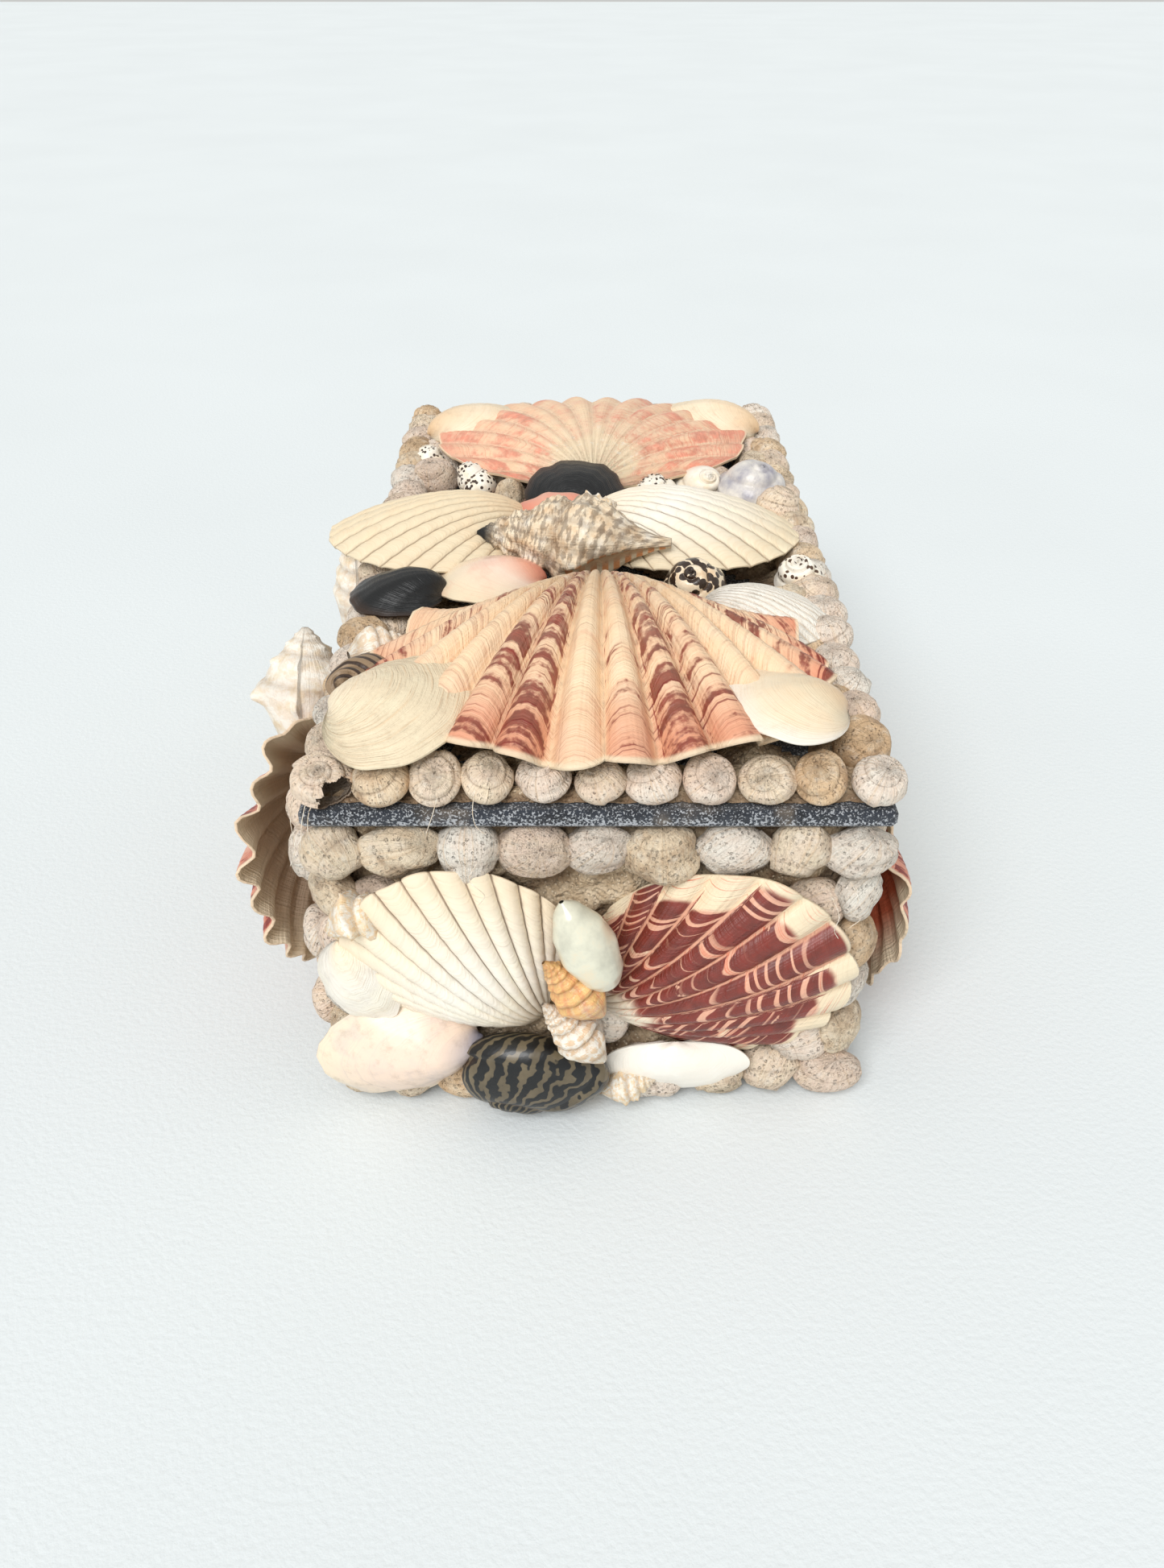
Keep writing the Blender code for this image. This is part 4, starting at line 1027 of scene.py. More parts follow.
class LaySnailRows(bpy.types.Operator):
    """Lays the rows of snails round the lid and the walls"""

    bl_idname = "shell_box.lay_snail_rows"
    bl_label = "Rows of snails"

    def execute(self, context):
        sizes = context.scene.shell_box_sizes
        colours = context.scene.shell_box_colours
        finish = bleached_snail(colours)
        rough = bleached_snail(colours, "weathered snail", spots=0.65, pits=1.8, seam_shade=0.3)
        inset = 4.9
        side, end = RIGHT_EDGE - inset, BACK_EDGE - inset
        corner = RIGHT_EDGE + 1.2
        inner = end - 6.4
        smooth = {
            "tilt": 20, "tallness": (0.84, 0.98), "peak": (0.05, 0.2), "boxy": (0.85, 1.0), "lumps": 0.015,
            "rows": 26, "seam_depth": 0.16
        }
        snail_row(
            "lid_snails_front", finish, sizes, LID_FACE, (-corner, -end), (corner, -end), broken=(0,),
            lean=(0, -22), **smooth
        )
        snail_row(
            "lid_snails_back", finish, sizes, LID_FACE, (-corner, end), (corner, end), lean=(0, 20), **smooth
        )
        snail_row(
            "lid_snails_left", rough, sizes, LID_FACE, (-side, -inner), (-side, inner), tilt=45,
            lean=(-15, 10)
        )
        snail_row(
            "lid_snails_right", finish, sizes, LID_FACE, (side, -inner), (side, inner), tilt=30,
            lean=(-20, -15)
        )
        top = BOX_HIGH.z / PART - 6.6
        for wall, face in WALLS.items():
            half = HALF_WIDTH / PART + 9.2 if wall in ("front", "back") else WALL_HALF - 0.3
            for level, up in (("top", top), ("bottom", 7.4)):
                snail_row(
                    f"{wall}_snails_{level}", rough, sizes, face, (-half, up), (half, up), tilt=80,
                    swell=(1.06, 1.18), peak=(0.1, 0.6), boxy=(0.5, 0.75), tallness=(0.95, 1.15),
                    stretch=1.12, uneven=0.22, wide=1.06, lumps=0.05,
                )
        return {"FINISHED"}


class LayCorners(bpy.types.Operator):
    """Stacks snails up the four standing edges of the box"""

    bl_idname = "shell_box.lay_corners"
    bl_label = "Corner columns"

    def execute(self, context):
        colours = context.scene.shell_box_colours
        finish = bleached_snail(colours, "corner snail", spots=0.6, pits=1.5, seam_shade=0.3)
        low, high, levels = 13.1, 63.9, 4
        wide, long, tall = 13.2, 13.4, 9.0
        across_half, along_half = HALF_WIDTH / PART, WALL_HALF
        for name, across, along in (
            ("front_left", -1, -1), ("front_right", 1, -1), ("back_left", -1, 1), ("back_right", 1, 1),
        ):
            node = f"corner_snails_{name}"
            draw = random.Random(seed_of(node))
            heap = Heap()
            for level in range(levels):
                z = low + (high - low) * (level + 0.5) / levels
                out = math.atan2(along, across)
                spots = (
                    (across * (across_half - 5.5), along * (along_half + 0.3), math.atan2(along, 0), -2.5),
                    (across * (across_half + 0.3), along * (along_half - 5.5), math.atan2(0, across), 2.5),
                    (across * (across_half + 1.0), along * (along_half + 1.0), out, 0.0),
                )
                for x, y, way, shift in spots:
                    outward = Vector((math.cos(way), math.sin(way), 0))
                    face = face_frame(
                        (x * PART, y * PART, (z + shift) * PART), outward.cross((0, 0, 1)) * -1, (0, 0, 1)
                    )
                    size = (
                        wide * draw.uniform(0.9, 1.08), long * draw.uniform(0.92, 1.06),
                        tall * draw.uniform(0.85, 1.0)
                    )
                    add_snail(
                        heap, face, size, random_turn(draw, 70), growth=draw.uniform(1.7, 2.2),
                        tint=draw.random(), peak=draw.uniform(0.1, 0.6), boxy=draw.uniform(0.65, 0.9),
                        seed=draw.randrange(9999),
                    )
            heap.piece(node + "_column", finish, "snail", node)
        return {"FINISHED"}


# Form of the two lid scallops, and how strongly each rib is coloured
FAN = {
    "fullness": 1.3, "ribs": 18, "rib_height": 3.3, "crest_power": 1.4, "chips": 0.012, "wall": 1.5,
    "ridges": 24, "ridge_height": 0.08, "wobble": 0.25, "rib_growth": 1.0, "frill": 1.0, "lobe": 0.015,
}
FRONT_STAINS = (
    0.3, 0.8, 1.0, 0.95, 0.1, 0.0, 0.7, 1.15, 0.6, 0.0, 1.15, 0.75, 0.1, 0.25, 0.7, 0.4, 0.15, 0.1
)
BACK_STAINS = (0.9, 1.0, 0.8, 1.0, 0.8, 0.9, 0.4, 0.6, 0.3, 0.4, 0.8, 0.6, 0.9, 0.8, 1.0, 0.9, 1.0, 0.8)


class LayLidScallops(bpy.types.Operator):
    """Lays the two large scallops on the lid"""

    bl_idname = "shell_box.lay_lid_scallops"
    bl_label = "Lid scallops"

    def execute(self, context):
        colours = context.scene.shell_box_colours
        rosy = between(colours.tan, colours.coral)
        front = scallop_finish(
            "front scallop", colours,
            ground=((0.05, colours.bone), (0.3, colours.tan), (0.58, colours.peach), (0.9, colours.peach)),
            stain=scaled(colours.maroon, 0.85), halo=rosy, faded=rosy, inside=colours.chalk, start=0.16,
            end=1.1, cover=0.62, marks=20, arc=0.07, line_colour=colours.maroon, line_share=0.85,
            groove=colours.tan, groove_share=0.5, rim=colours.flame, rim_share=0.75, worn=0.65, relief=0.0004,
            softness=0.11,
        )
        back = scallop_finish(
            "back scallop", colours,
            ground=((0.05, colours.ivory), (0.5, colours.peach), (0.9, colours.peach)), stain=colours.coral,
            halo=colours.blush, inside=colours.chalk, start=0.25, end=1.2, cover=0.85, marks=6, arc=0.05,
            line_colour=colours.flame, line_share=0.4, groove=colours.ivory, groove_share=0.4,
            rim=colours.coral, rim_share=0.6, worn=0.45, relief=0.0003, seed=7.0, softness=0.2,
        )
        lay_valve(
            "lid_scallop_front", "scallop", front, seat(LID_FACE, 1, FRONT_EDGE + 74, lift=OVER), 96, 74, 1.9,
            stains=FRONT_STAINS, **{**FAN, "lobe": 0.045, "rib_height": 4.0, "frill": 1.8},
        )
        lay_valve(
            "lid_scallop_back", "scallop", back, seat(LID_FACE, 0, BACK_EDGE - 81, spin=180, lift=OVER), 94,
            75, 2.6, stains=BACK_STAINS, **{**FAN, "frill": 0.3, "rib_height": 1.7},
        )
        return {"FINISHED"}


# Form of the ark shells on the lid, and of the bolder ones on the walls
ARK = {
    "fullness": 0.8, "ribs": 24, "rib_height": 0.9, "crest_power": 0.4, "ridges": 12, "ridge_height": 0.09,
    "rib_growth": 0.5, "chips": 0.004,
}
BOLD_ARK = {
    **ARK, "fullness": 0.85, "ribs": 24, "rib_height": 1.5, "crest_power": 0.55, "chips": 0.01, "lobe": 0.015
}


class LayLidArks(bpy.types.Operator):
    """Lays the two ribbed ark shells on the lid"""

    bl_idname = "shell_box.lay_lid_arks"
    bl_label = "Lid ark shells"

    def execute(self, context):
        colours = context.scene.shell_box_colours
        # The brown dust colour in the grooves is painted shade as well as dust
        look = {
            "inside": colours.chalk, "groove": colours.grime_and_shade, "groove_share": 0.7, "lines": 70,
            "line_share": 0.2, "line_colour": colours.tan, "dust": 0.3, "rough": (0.4, 0.65)
        }
        warm = between(colours.ivory, colours.amber, 0.04)
        left = valve_finish(
            "left ark shell", colours, ground=((0.1, colours.tan), (0.4, warm), (0.95, colours.ivory)), **look
        )
        right = valve_finish(
            "right ark shell", colours,
            ground=((0.1, colours.bone), (0.5, colours.chalk), (0.95, colours.ivory)), **look
        )
        lay_valve(
            "lid_ark_left", "cream", left, seat(LID_FACE, LEFT_EDGE + 44, 4, -78, 4, -5, 0.7 * OVER), 54, 54,
            1.6, **ARK
        )
        lay_valve(
            "lid_ark_right", "cream", right, seat(LID_FACE, RIGHT_EDGE - 61, 8, 79, 2, 5, 0.7 * OVER), 58, 56,
            1.6, **ARK
        )
        return {"FINISHED"}


class LayLidClams(bpy.types.Operator):
    """Lays the clams near the lid's corners, and the small lattice cockle"""

    bl_idname = "shell_box.lay_lid_clams"
    bl_label = "Lid clams and cockle"

    def execute(self, context):
        colours = context.scene.shell_box_colours
        lined = valve_finish(
            "lined clam", colours, ground=((0.1, colours.bone), (0.5, colours.ivory), (0.95, colours.ivory)),
            inside=colours.chalk, lines=46, line_share=0.5, line_colour=colours.tan, dust=0.15, relief=0.0006,
        )
        ivory = valve_finish(
            "ivory clam", colours,
            ground=((0.1, colours.tan), (0.45, colours.ivory), (0.8, colours.bone), (1.0, colours.chalk)),
            inside=colours.chalk, lines=60, line_share=0.25, line_colour=colours.tan, dust=0.12, coat=0.25,
            relief=0.0002,
        )
        beige = valve_finish(
            "beige clam", colours, ground=((0.1, colours.tan), (0.6, colours.bone), (1.0, colours.ivory)),
            inside=colours.bone, lines=50, line_share=0.3, line_colour=colours.tan, dust=0.2, coat=0.1,
        )
        lattice = valve_finish(
            "lattice cockle", colours, ground=((0.1, colours.chalk), (0.9, colours.chalk)),
            inside=colours.chalk, groove=colours.tan, groove_share=0.5, lines=50, line_share=0.4,
            line_colour=colours.bone, dust=0.3, rays=60, ray_share=0.2, relief=0.0005,
        )
        lay_valve(
            "lid_clam_front_left", "cream", lined,
            seat(LID_FACE, LEFT_EDGE + 5, FRONT_EDGE + 20, 78, 4, -8, OVER + 2.5), 37, 29, 1.7, fullness=0.8,
            ridges=22, ridge_height=0.12,
        )
        lay_valve(
            "lid_clam_front_right", "cream", ivory,
            seat(LID_FACE, RIGHT_EDGE - 9, FRONT_EDGE + 19, -84, 7, 0, OVER + 2.5), 30, 25, 1.7,
            fullness=0.85,
        )
        lay_valve(
            "lid_clam_back_left", "cream", beige,
            seat(LID_FACE, LEFT_EDGE + 8, BACK_EDGE - 35, 105, 7, 0, OVER - 1), 28, 32, 1.6
        )
        lay_valve(
            "lid_clam_back_right", "cream", beige,
            seat(LID_FACE, RIGHT_EDGE - 7, BACK_EDGE - 32, -110, 7, 0, OVER - 1), 28, 32, 1.6
        )
        lay_valve(
            "lid_cockle_right", "white", lattice, seat(LID_FACE, RIGHT_EDGE - 33, -41, 76, 0, 0, 7), 28, 30,
            1.3, ribs=30, rib_height=0.28, crest_power=1.0, ridges=22, ridge_height=0.11, chips=0.004,
            fineness=0.8,
        )
        return {"FINISHED"}


# Outlines of the spired shells, as share of the length and share of the girth
TRITON_PROFILE = (
    (0, 0.10), (0.08, 0.16), (0.18, 0.34), (0.30, 0.68), (0.44, 1.0), (0.56, 0.94), (0.72, 0.62),
    (0.88, 0.34), (1, 0.04),
)
WHELK_PROFILE = ((0, 0.18), (0.22, 0.72), (0.45, 1.0), (0.62, 0.72), (0.80, 0.46), (1.0, 0.08))
CONE_PROFILE = ((0, 0.12), (0.30, 0.60), (0.62, 1.0), (0.76, 0.66), (0.88, 0.40), (1.0, 0.06))
EGG_PROFILE = ((0, 0.1), (0.06, 0.45), (0.2, 0.8), (0.45, 1.0), (0.7, 0.88), (0.9, 0.5), (1.0, 0.08))


class LayLidMiddle(bpy.types.Operator):
    """Lays the triton, the pink shells and the blue-black shells in the middle of the lid"""

    bl_idname = "shell_box.lay_lid_middle"
    bl_label = "Middle of the lid"

    def execute(self, context):
        colours = context.scene.shell_box_colours
        triton = spindle_finish(
            "triton", colours, ground=(colours.tan, colours.bone, colours.chalk), dark=colours.umber_and_shade,
            dark_share=0.55, mouth=colours.peach, lip=between(colours.amber, colours.flame),
            tip=scaled(colours.ink, 2.5),
        )
        pink = valve_finish(
            "pink shell", colours,
            ground=((0.05, colours.coral), (0.28, colours.blush), (0.5, colours.mauve), (0.9, colours.ivory)),
            inside=colours.chalk, lines=40, line_share=0.1, line_colour=colours.coral, dust=0.05, coat=0.5,
            rough=(0.2, 0.35), relief=0.0001,
        )
        coral = valve_finish(
            "coral shell", colours,
            ground=((0.05, colours.coral), (0.7, colours.blush), (1.0, colours.coral)), inside=colours.blush,
            lines=40, line_share=0.15, line_colour=colours.coral, dust=0.05, coat=0.4, rough=(0.2, 0.4),
            relief=0.00015,
        )
        ink = valve_finish(
            "blue-black shell", colours,
            ground=((0.1, colours.ink), (0.9, colours.ink), (1.0, scaled(colours.umber_and_shade, 0.5))),
            inside=colours.lilac, lines=46, line_share=0.3, line_colour=scaled(colours.ink, 1.5), dust=0.0,
            coat=0.05, rough=(0.3, 0.45), relief=0.0003,
        )
        lay_spindle(
            "lid_triton", "speckled", triton, seat(LID_FACE, -5.5, -19.5, 83, 0, 0, 6), 49, 24,
            TRITON_PROFILE, shoulder=0.46, growth=1.75, seam_depth=0.24, ribs=10, rib_height=0.5, cords=7,
            cord_height=0.22, mouth=-140, steps=90, sides=76, bend=0.12,
        )
        lay_valve(
            "lid_black_shell_left", "black", ink, seat(LID_FACE, LEFT_EDGE + 22.5, -33, -76, lift=9), 23, 23,
            1.25, ridges=18, ridge_height=0.08,
        )
        lay_valve(
            "lid_black_shell_centre", "black", ink, seat(LID_FACE, -6, 15, 176, 24, 0, 5), 28, 26, 1.35,
            ridges=18, ridge_height=0.08,
        )
        lay_valve(
            "lid_pink_shell_left", "pink", pink, seat(LID_FACE, -12.5, -26.5, -82, 3, 0, 8), 24, 28, 1.45,
            fullness=0.9, ridge_height=0.02,
        )
        lay_valve(
            "lid_pink_shell_centre", "pink", coral, seat(LID_FACE, -1, 4, -88, 4, 0, 14), 16, 19, 1.35,
            ridge_height=0.03
        )
        return {"FINISHED"}


class LayLidSmall(bpy.types.Operator):
    """Lays the nerites, the moon shell and the other small coiled shells on the lid"""

    bl_idname = "shell_box.lay_lid_small"
    bl_label = "Small shells on the lid"

    def execute(self, context):
        colours = context.scene.shell_box_colours
        pale = (colours.bone, colours.chalk, colours.ivory)
        nerite = coil_finish(
            "spotted nerite", colours, (colours.tan, colours.bone, colours.ivory),
            spot=scaled(colours.umber_and_shade, 0.4), spot_size=520, spot_level=0.62, coat=0.4, rough=(0.2, 0.35),
            dust=0.1,
        )
        moon = coil_finish(
            "moon shell", colours, (colours.lilac, between(colours.lilac, colours.chalk), colours.chalk),
            coat=0.3, rough=(0.3, 0.5), dust=0.05, seam_shade_share=0.1,
        )
        white = coil_finish("white top shell", colours, pale, coat=0.2, dust=0.2)
        dotted = coil_finish(
            "dotted top shell", colours, pale, spot=colours.umber_and_shade, spot_size=620, spot_level=0.38, coat=0.1,
            rough=(0.45, 0.7)
        )
        banded = coil_finish(
            "banded snail", colours, [scaled(colours.umber_and_shade, k) for k in (0.35, 0.5, 0.8)], band=colours.tan,
            bands=13, band_share=0.38, coat=0.1, rough=(0.4, 0.65), seam_shade_share=0.1,
        )
        snail = bleached_snail(colours, "edge snail", spots=0.5)
        whelk = spindle_finish(
            "white whelk", colours, ground=pale, dark=colours.tan, dark_share=0.6, rows=0.4,
        )
        lay_dome(
            "lid_nerite", "speckled", nerite, seat(LID_FACE, 24.5, -31.5, 25, lift=3), (14.5, 15, 13.5),
            (30, -25, 0), growth=3.2, peak=0.35, boxy=0.95, seam_depth=0.16,
        )
        lay_dome(
            "lid_moon_shell", "white", moon, seat(LID_FACE, RIGHT_EDGE - 13.5, 37), (20, 20, 16),
            (20, 10, 20), growth=2.8, peak=0.3, boxy=1.0, seam_depth=0.10,
        )
        lay_dome(
            "lid_white_shell_right", "white", white, seat(LID_FACE, RIGHT_EDGE - 28.5, 42), (15, 16, 13),
            (40, 20, 0), growth=2.2, peak=0.7, boxy=1.0,
        )
        lay_dome(
            "lid_spotted_shell_right", "speckled", dotted, seat(LID_FACE, RIGHT_EDGE - 7.5, -20, lift=1),
            (12.5, 12.5, 12), (24, -8, 0), growth=1.8, peak=0.7, seam_depth=0.18,
        )
        lay_dome(
            "lid_edge_shell_right", "snail", snail, seat(LID_FACE, RIGHT_EDGE - 8, 21, lift=4),
            (12, 12, 10.5), (25, 10, 80), growth=1.7,
        )
        lay_dome(
            "lid_banded_shell_left", "speckled", banded, seat(LID_FACE, LEFT_EDGE + 9, -80, -25, lift=2),
            (15, 20, 14), (55, -15, 20), growth=2.0, peak=0.9, boxy=0.8, seam_depth=0.2, lumps=0.05,
        )
        lay_spindle(
            "lid_white_whelk_left", "white", whelk, seat(LID_FACE, LEFT_EDGE + 11, -64.5, -60, 0, 0, 5), 15,
            11.5, WHELK_PROFILE, shoulder=0.4, growth=1.6, seam_depth=0.3, mouth=None,
        )
        return {"FINISHED"}


class LayFront(bpy.types.Operator):
    """Lays the shells on the front wall"""

    bl_idname = "shell_box.lay_front"
    bl_label = "Front wall"

    def execute(self, context):
        colours = context.scene.shell_box_colours
        # The brown dust colour in the grooves is painted shade as well as dust
        white = valve_finish(
            "white ark shell", colours,
            ground=((0.1, colours.bone), (0.5, colours.chalk), (0.95, colours.bone)), inside=colours.chalk,
            groove=colours.grime_and_shade, groove_share=0.8, lines=60, line_share=0.2, line_colour=colours.bone,
            dust=0.4, rough=(0.4, 0.65), relief=0.0003,
        )
        red = scallop_finish(
            "red scallop", colours,
            ground=((0.1, colours.chalk), (0.35, colours.ivory), (0.7, colours.peach), (0.95, colours.ivory)),
            stain=scaled(colours.maroon, 0.7), halo=colours.coral, inside=colours.chalk, start=0.26, end=0.88,
            cover=1.25, marks=11, arc=0.05, line_colour=colours.flame, line_share=0.9, groove=colours.peach,
            groove_share=0.8, worn=0.0, dust=0.05, coat=0.2, rough=(0.3, 0.5), relief=0.0003, seed=3.0,
            umbo_dust_and_shade=0.4, softness=0.03, crescents=18, channel=(0.1, 0.3),
        )
        cream = valve_finish(
            "cream clam", colours, ground=((0.1, colours.bone), (0.5, colours.chalk), (1.0, colours.chalk)),
            inside=colours.chalk, lines=50, line_share=0.3, line_colour=colours.tan, dust=0.15, coat=0.1,
        )
        glossy = valve_finish(
            "glossy clam", colours,
            ground=((0.1, colours.lilac), (0.35, colours.mauve), (0.7, colours.mauve), (1.0, colours.bone)),
            inside=colours.chalk, lines=30, line_share=0.15, line_colour=colours.lilac, dust=0.25, coat=0.2,
            rough=(0.3, 0.5), relief=0.00012,
        )
        bright = valve_finish(
            "bright clam", colours, ground=((0.1, colours.chalk), (1.0, colours.chalk)), inside=colours.chalk,
            lines=40, line_share=0.12, line_colour=colours.bone, dust=0.0, coat=0.4, rough=(0.25, 0.4),
            relief=0.00012,
        )
        jade = coil_finish(
            "jade shell", colours, (scaled(colours.jade, 0.78), colours.jade, colours.ivory), coat=0.4,
            rough=(0.15, 0.3), relief=0.00003, dust=0.0, seam_shade_share=0.0,
        )
        striped = coil_finish(
            "striped nerite", colours, [scaled(colours.olive, k) for k in (0.6, 0.9, 1.3)],
            stripe=scaled(colours.ink, 0.5), stripes=22, stripe_width=0.3, stripe_wander=1.2, coat=0.2,
            rough=(0.3, 0.45), dust=0.0, relief=0.0001,
        )
        banded = spindle_finish(
            "banded whelk", colours, ground=(colours.chalk, colours.chalk, colours.ivory), dark=colours.tan,
            dark_share=0.8, rows=0.5,
        )
        orange = spindle_finish(
            "orange whelk", colours, ground=(colours.amber, colours.amber, colours.ivory), dark=colours.flame,
            dark_share=0.3, coat=0.3, rough=(0.3, 0.5),
        )
        lay_valve(
            "front_ark_white", "white", white, seat(FRONT_FACE, -13, 23, 218, lean_over(OVER, 46)), 46, 53,
            1.8, **BOLD_ARK,
        )
        lay_valve(
            "front_scallop_red", "scallop", red, seat(FRONT_FACE, 1, 27, 117, lean_over(OVER, 50)), 52, 57,
            1.9, fullness=1.1, ribs=17, rib_height=1.9, crest_power=0.8, ridges=26, ridge_height=0.06,
            wobble=0.2, rib_growth=0.6, lobe=0.012, frill=0.5,
            stains=(1.0, 1.25, 0.9, 1.3, 1.0, 1.1, 1.2, 1.0, 1.25, 1.0, 1.1, 1.0, 1.2, 0.9, 1.0, 0.7, 0.3),
        )
        lay_valve(
            "front_clam_left_mid", "cream", cream, seat(FRONT_FACE, -54, 50, 18, 0, 0, OVER), 17, 24, 1.9
        )
        lay_valve(
            "front_clam_left_low", "white", glossy, seat(FRONT_FACE, -26, 20, -80, 4, 0, 0.7 * OVER), 27, 37,
            1.5, fullness=0.85, ridge_height=0.02,
        )
        lay_valve(
            "front_clam_white", "white", bright, seat(FRONT_FACE, 17.5, 20.5, 2, -6, 0, OVER), 33, 16.5, 1.5,
            fullness=0.75, ridge_height=0.03, fineness=1.4,
        )
        lay_dome(
            "front_nerite_striped", "black", striped, seat(FRONT_FACE, -13.5, 13.5, lift=0.5 * OVER),
            (33, 22, 14), (50, -35, 0), growth=3.4, peak=0.2, boxy=0.95, rows=60, columns=90,
        )
        lay_spindle(
            "front_whelk_banded", "cream", banded, seat(FRONT_FACE, -5, 29, 38, 0, 0, 11), 21, 11,
            WHELK_PROFILE, shoulder=0.4, growth=1.5, seam_depth=0.3, ribs=9, rib_height=0.15, cords=2,
            cord_height=0.08,
        )
        lay_spindle(
            "front_whelk_orange", "cream", orange, seat(FRONT_FACE, -5, 42, 40, 0, 0, 11), 19, 12,
            WHELK_PROFILE, shoulder=0.4, growth=1.5, seam_depth=0.3, ribs=8, rib_height=0.2, cords=3,
            cord_height=0.05,
        )
        lay_spindle(
            "front_pale_shell", "white", jade,
            seat(FRONT_FACE, -7.5, 65, 24, 0, 0, 10) @ Matrix.Translation((0, -13 * PART, 0)), 25, 12.5,
            EGG_PROFILE, growth=9.0, seam_depth=0.0,
        )
        return {"FINISHED"}


# Form of the scallops on the other walls, and how strongly each rib is coloured
SIDE_SCALLOP = {
    "fullness": 1.2, "ribs": 16, "chips": 0.02, "ridges": 20, "ridge_height": 0.07, "rib_height": 1.7,
    "frill": 1.6, "lobe": 0.025,
}
SIDE_STAINS = (0.4, 0.9, 0.6, 1.0, 0.3, 0.8, 0.9, 0.4, 1.0, 0.7, 0.3, 0.9, 0.5, 0.8, 0.6, 0.4)


def side_scallop_finish(name, colours, inside):
    """The scallops of the left, right and back walls."""
    return scallop_finish(
        name, colours, ground=((0.05, colours.bone), (0.4, colours.peach), (0.9, colours.blush)),
        stain=colours.maroon, halo=colours.flame, inside=inside, start=0.2, end=1.0, cover=0.6, marks=24,
        line_colour=colours.maroon, line_share=0.35, groove=colours.blush, rim=colours.flame, rim_share=0.5,
        seed=5.0, relief=0.0004,
    )


def plain_clam_finish(name, colours, line_share):
    """The clams of the right and back walls."""
    return valve_finish(
        name, colours, ground=((0.1, colours.tan), (0.6, colours.bone), (1.0, colours.ivory)),
        inside=colours.chalk, lines=50, line_share=line_share, line_colour=colours.tan, dust=0.2,
    )


def plain_ark_finish(name, colours):
    """The ark shells of the left and right walls."""
    # The brown dust colour in the grooves is painted shade as well as dust
    return valve_finish(
        name, colours, ground=((0.1, colours.tan), (0.5, colours.bone), (0.95, colours.ivory)),
        inside=colours.chalk, groove=colours.grime_and_shade, groove_share=0.6, lines=60, line_share=0.2,
        line_colour=colours.tan, dust=0.4,
    )


class LayLeft(bpy.types.Operator):
    """Lays the shells on the left wall"""

    bl_idname = "shell_box.lay_left"
    bl_label = "Left wall"

    def execute(self, context):
        colours = context.scene.shell_box_colours
        lean = lean_over(OVER, 48)
        flare = 23
        scallop = side_scallop_finish("left scallop", colours, between(colours.mauve, colours.tan))
        ark = plain_ark_finish("left wall ark shell", colours)
        conch = spindle_finish(
            "knobbed conch", colours, ground=(colours.ivory, colours.chalk, colours.chalk), dark=colours.tan,
            dark_share=0.3, rows=0.5,
        )
        lay_valve(
            "left_scallop_front", "scallop", scallop,
            seat(LEFT_FACE, 0.47 * WALL_HALF, 47, 93, lean_over(flare, 54), -3), 62, 56, 1.5,
            stains=SIDE_STAINS, **SIDE_SCALLOP,
        )
        lay_valve(
            "left_scallop_mid", "scallop", scallop, seat(LEFT_FACE, 0.17 * WALL_HALF, 14, 176, lean), 50, 52,
            1.6, stains=SIDE_STAINS, **SIDE_SCALLOP,
        )
        lay_valve(
            "left_ark_back", "white", ark, seat(LEFT_FACE, -0.63 * WALL_HALF, 16, 186, lean), 48, 50, 1.6,
            **BOLD_ARK
        )
        lay_spindle(
            "left_conch", "cream", conch, seat(LEFT_FACE, 0.37 * WALL_HALF, 62, 24, lift=OVER), 38, 26,
            CONE_PROFILE, shoulder=0.62, growth=2.2, seam_depth=0.12, knobs=6, knob_height=3.0, mouth=200,
            sides=80,
        )
        lay_spindle(
            "left_pointed_shell", "white", conch, seat(LEFT_FACE, -0.27 * WALL_HALF, 56, 0, lift=OVER), 54,
            17, CONE_PROFILE, shoulder=0.62, growth=1.4, seam_depth=0.22, ribs=10, rib_height=0.2,
        )
        return {"FINISHED"}


class LayRight(bpy.types.Operator):
    """Lays the shells on the right wall"""

    bl_idname = "shell_box.lay_right"
    bl_label = "Right wall"

    def execute(self, context):
        colours = context.scene.shell_box_colours
        lean = lean_over(OVER, 48)
        flare = 16
        scallop = side_scallop_finish("right scallop", colours, colours.flame)
        ark = plain_ark_finish("right wall ark shell", colours)
        clam = plain_clam_finish("right clam", colours, 0.3)
        lay_valve(
            "right_scallop_front", "scallop", scallop,
            seat(RIGHT_FACE, -0.45 * WALL_HALF, 37, -88, lean_over(flare, 52)), 55, 54, 1.7,
            stains=SIDE_STAINS, **SIDE_SCALLOP,
        )
        lay_valve(
            "right_clam_upper", "cream", clam, seat(RIGHT_FACE, -0.34 * WALL_HALF, 46, 178, lift=0.8 * OVER),
            30, 27, 1.6, fullness=0.9,
        )
        lay_valve(
            "right_ark_mid", "white", ark, seat(RIGHT_FACE, 0.09 * WALL_HALF, 18, 176, lean), 46, 48, 1.6,
            **BOLD_ARK
        )
        lay_valve(
            "right_scallop_back", "scallop", scallop, seat(RIGHT_FACE, 0.61 * WALL_HALF, 16, 182, lean), 54,
            52, 1.6, stains=SIDE_STAINS, **SIDE_SCALLOP,
        )
        return {"FINISHED"}


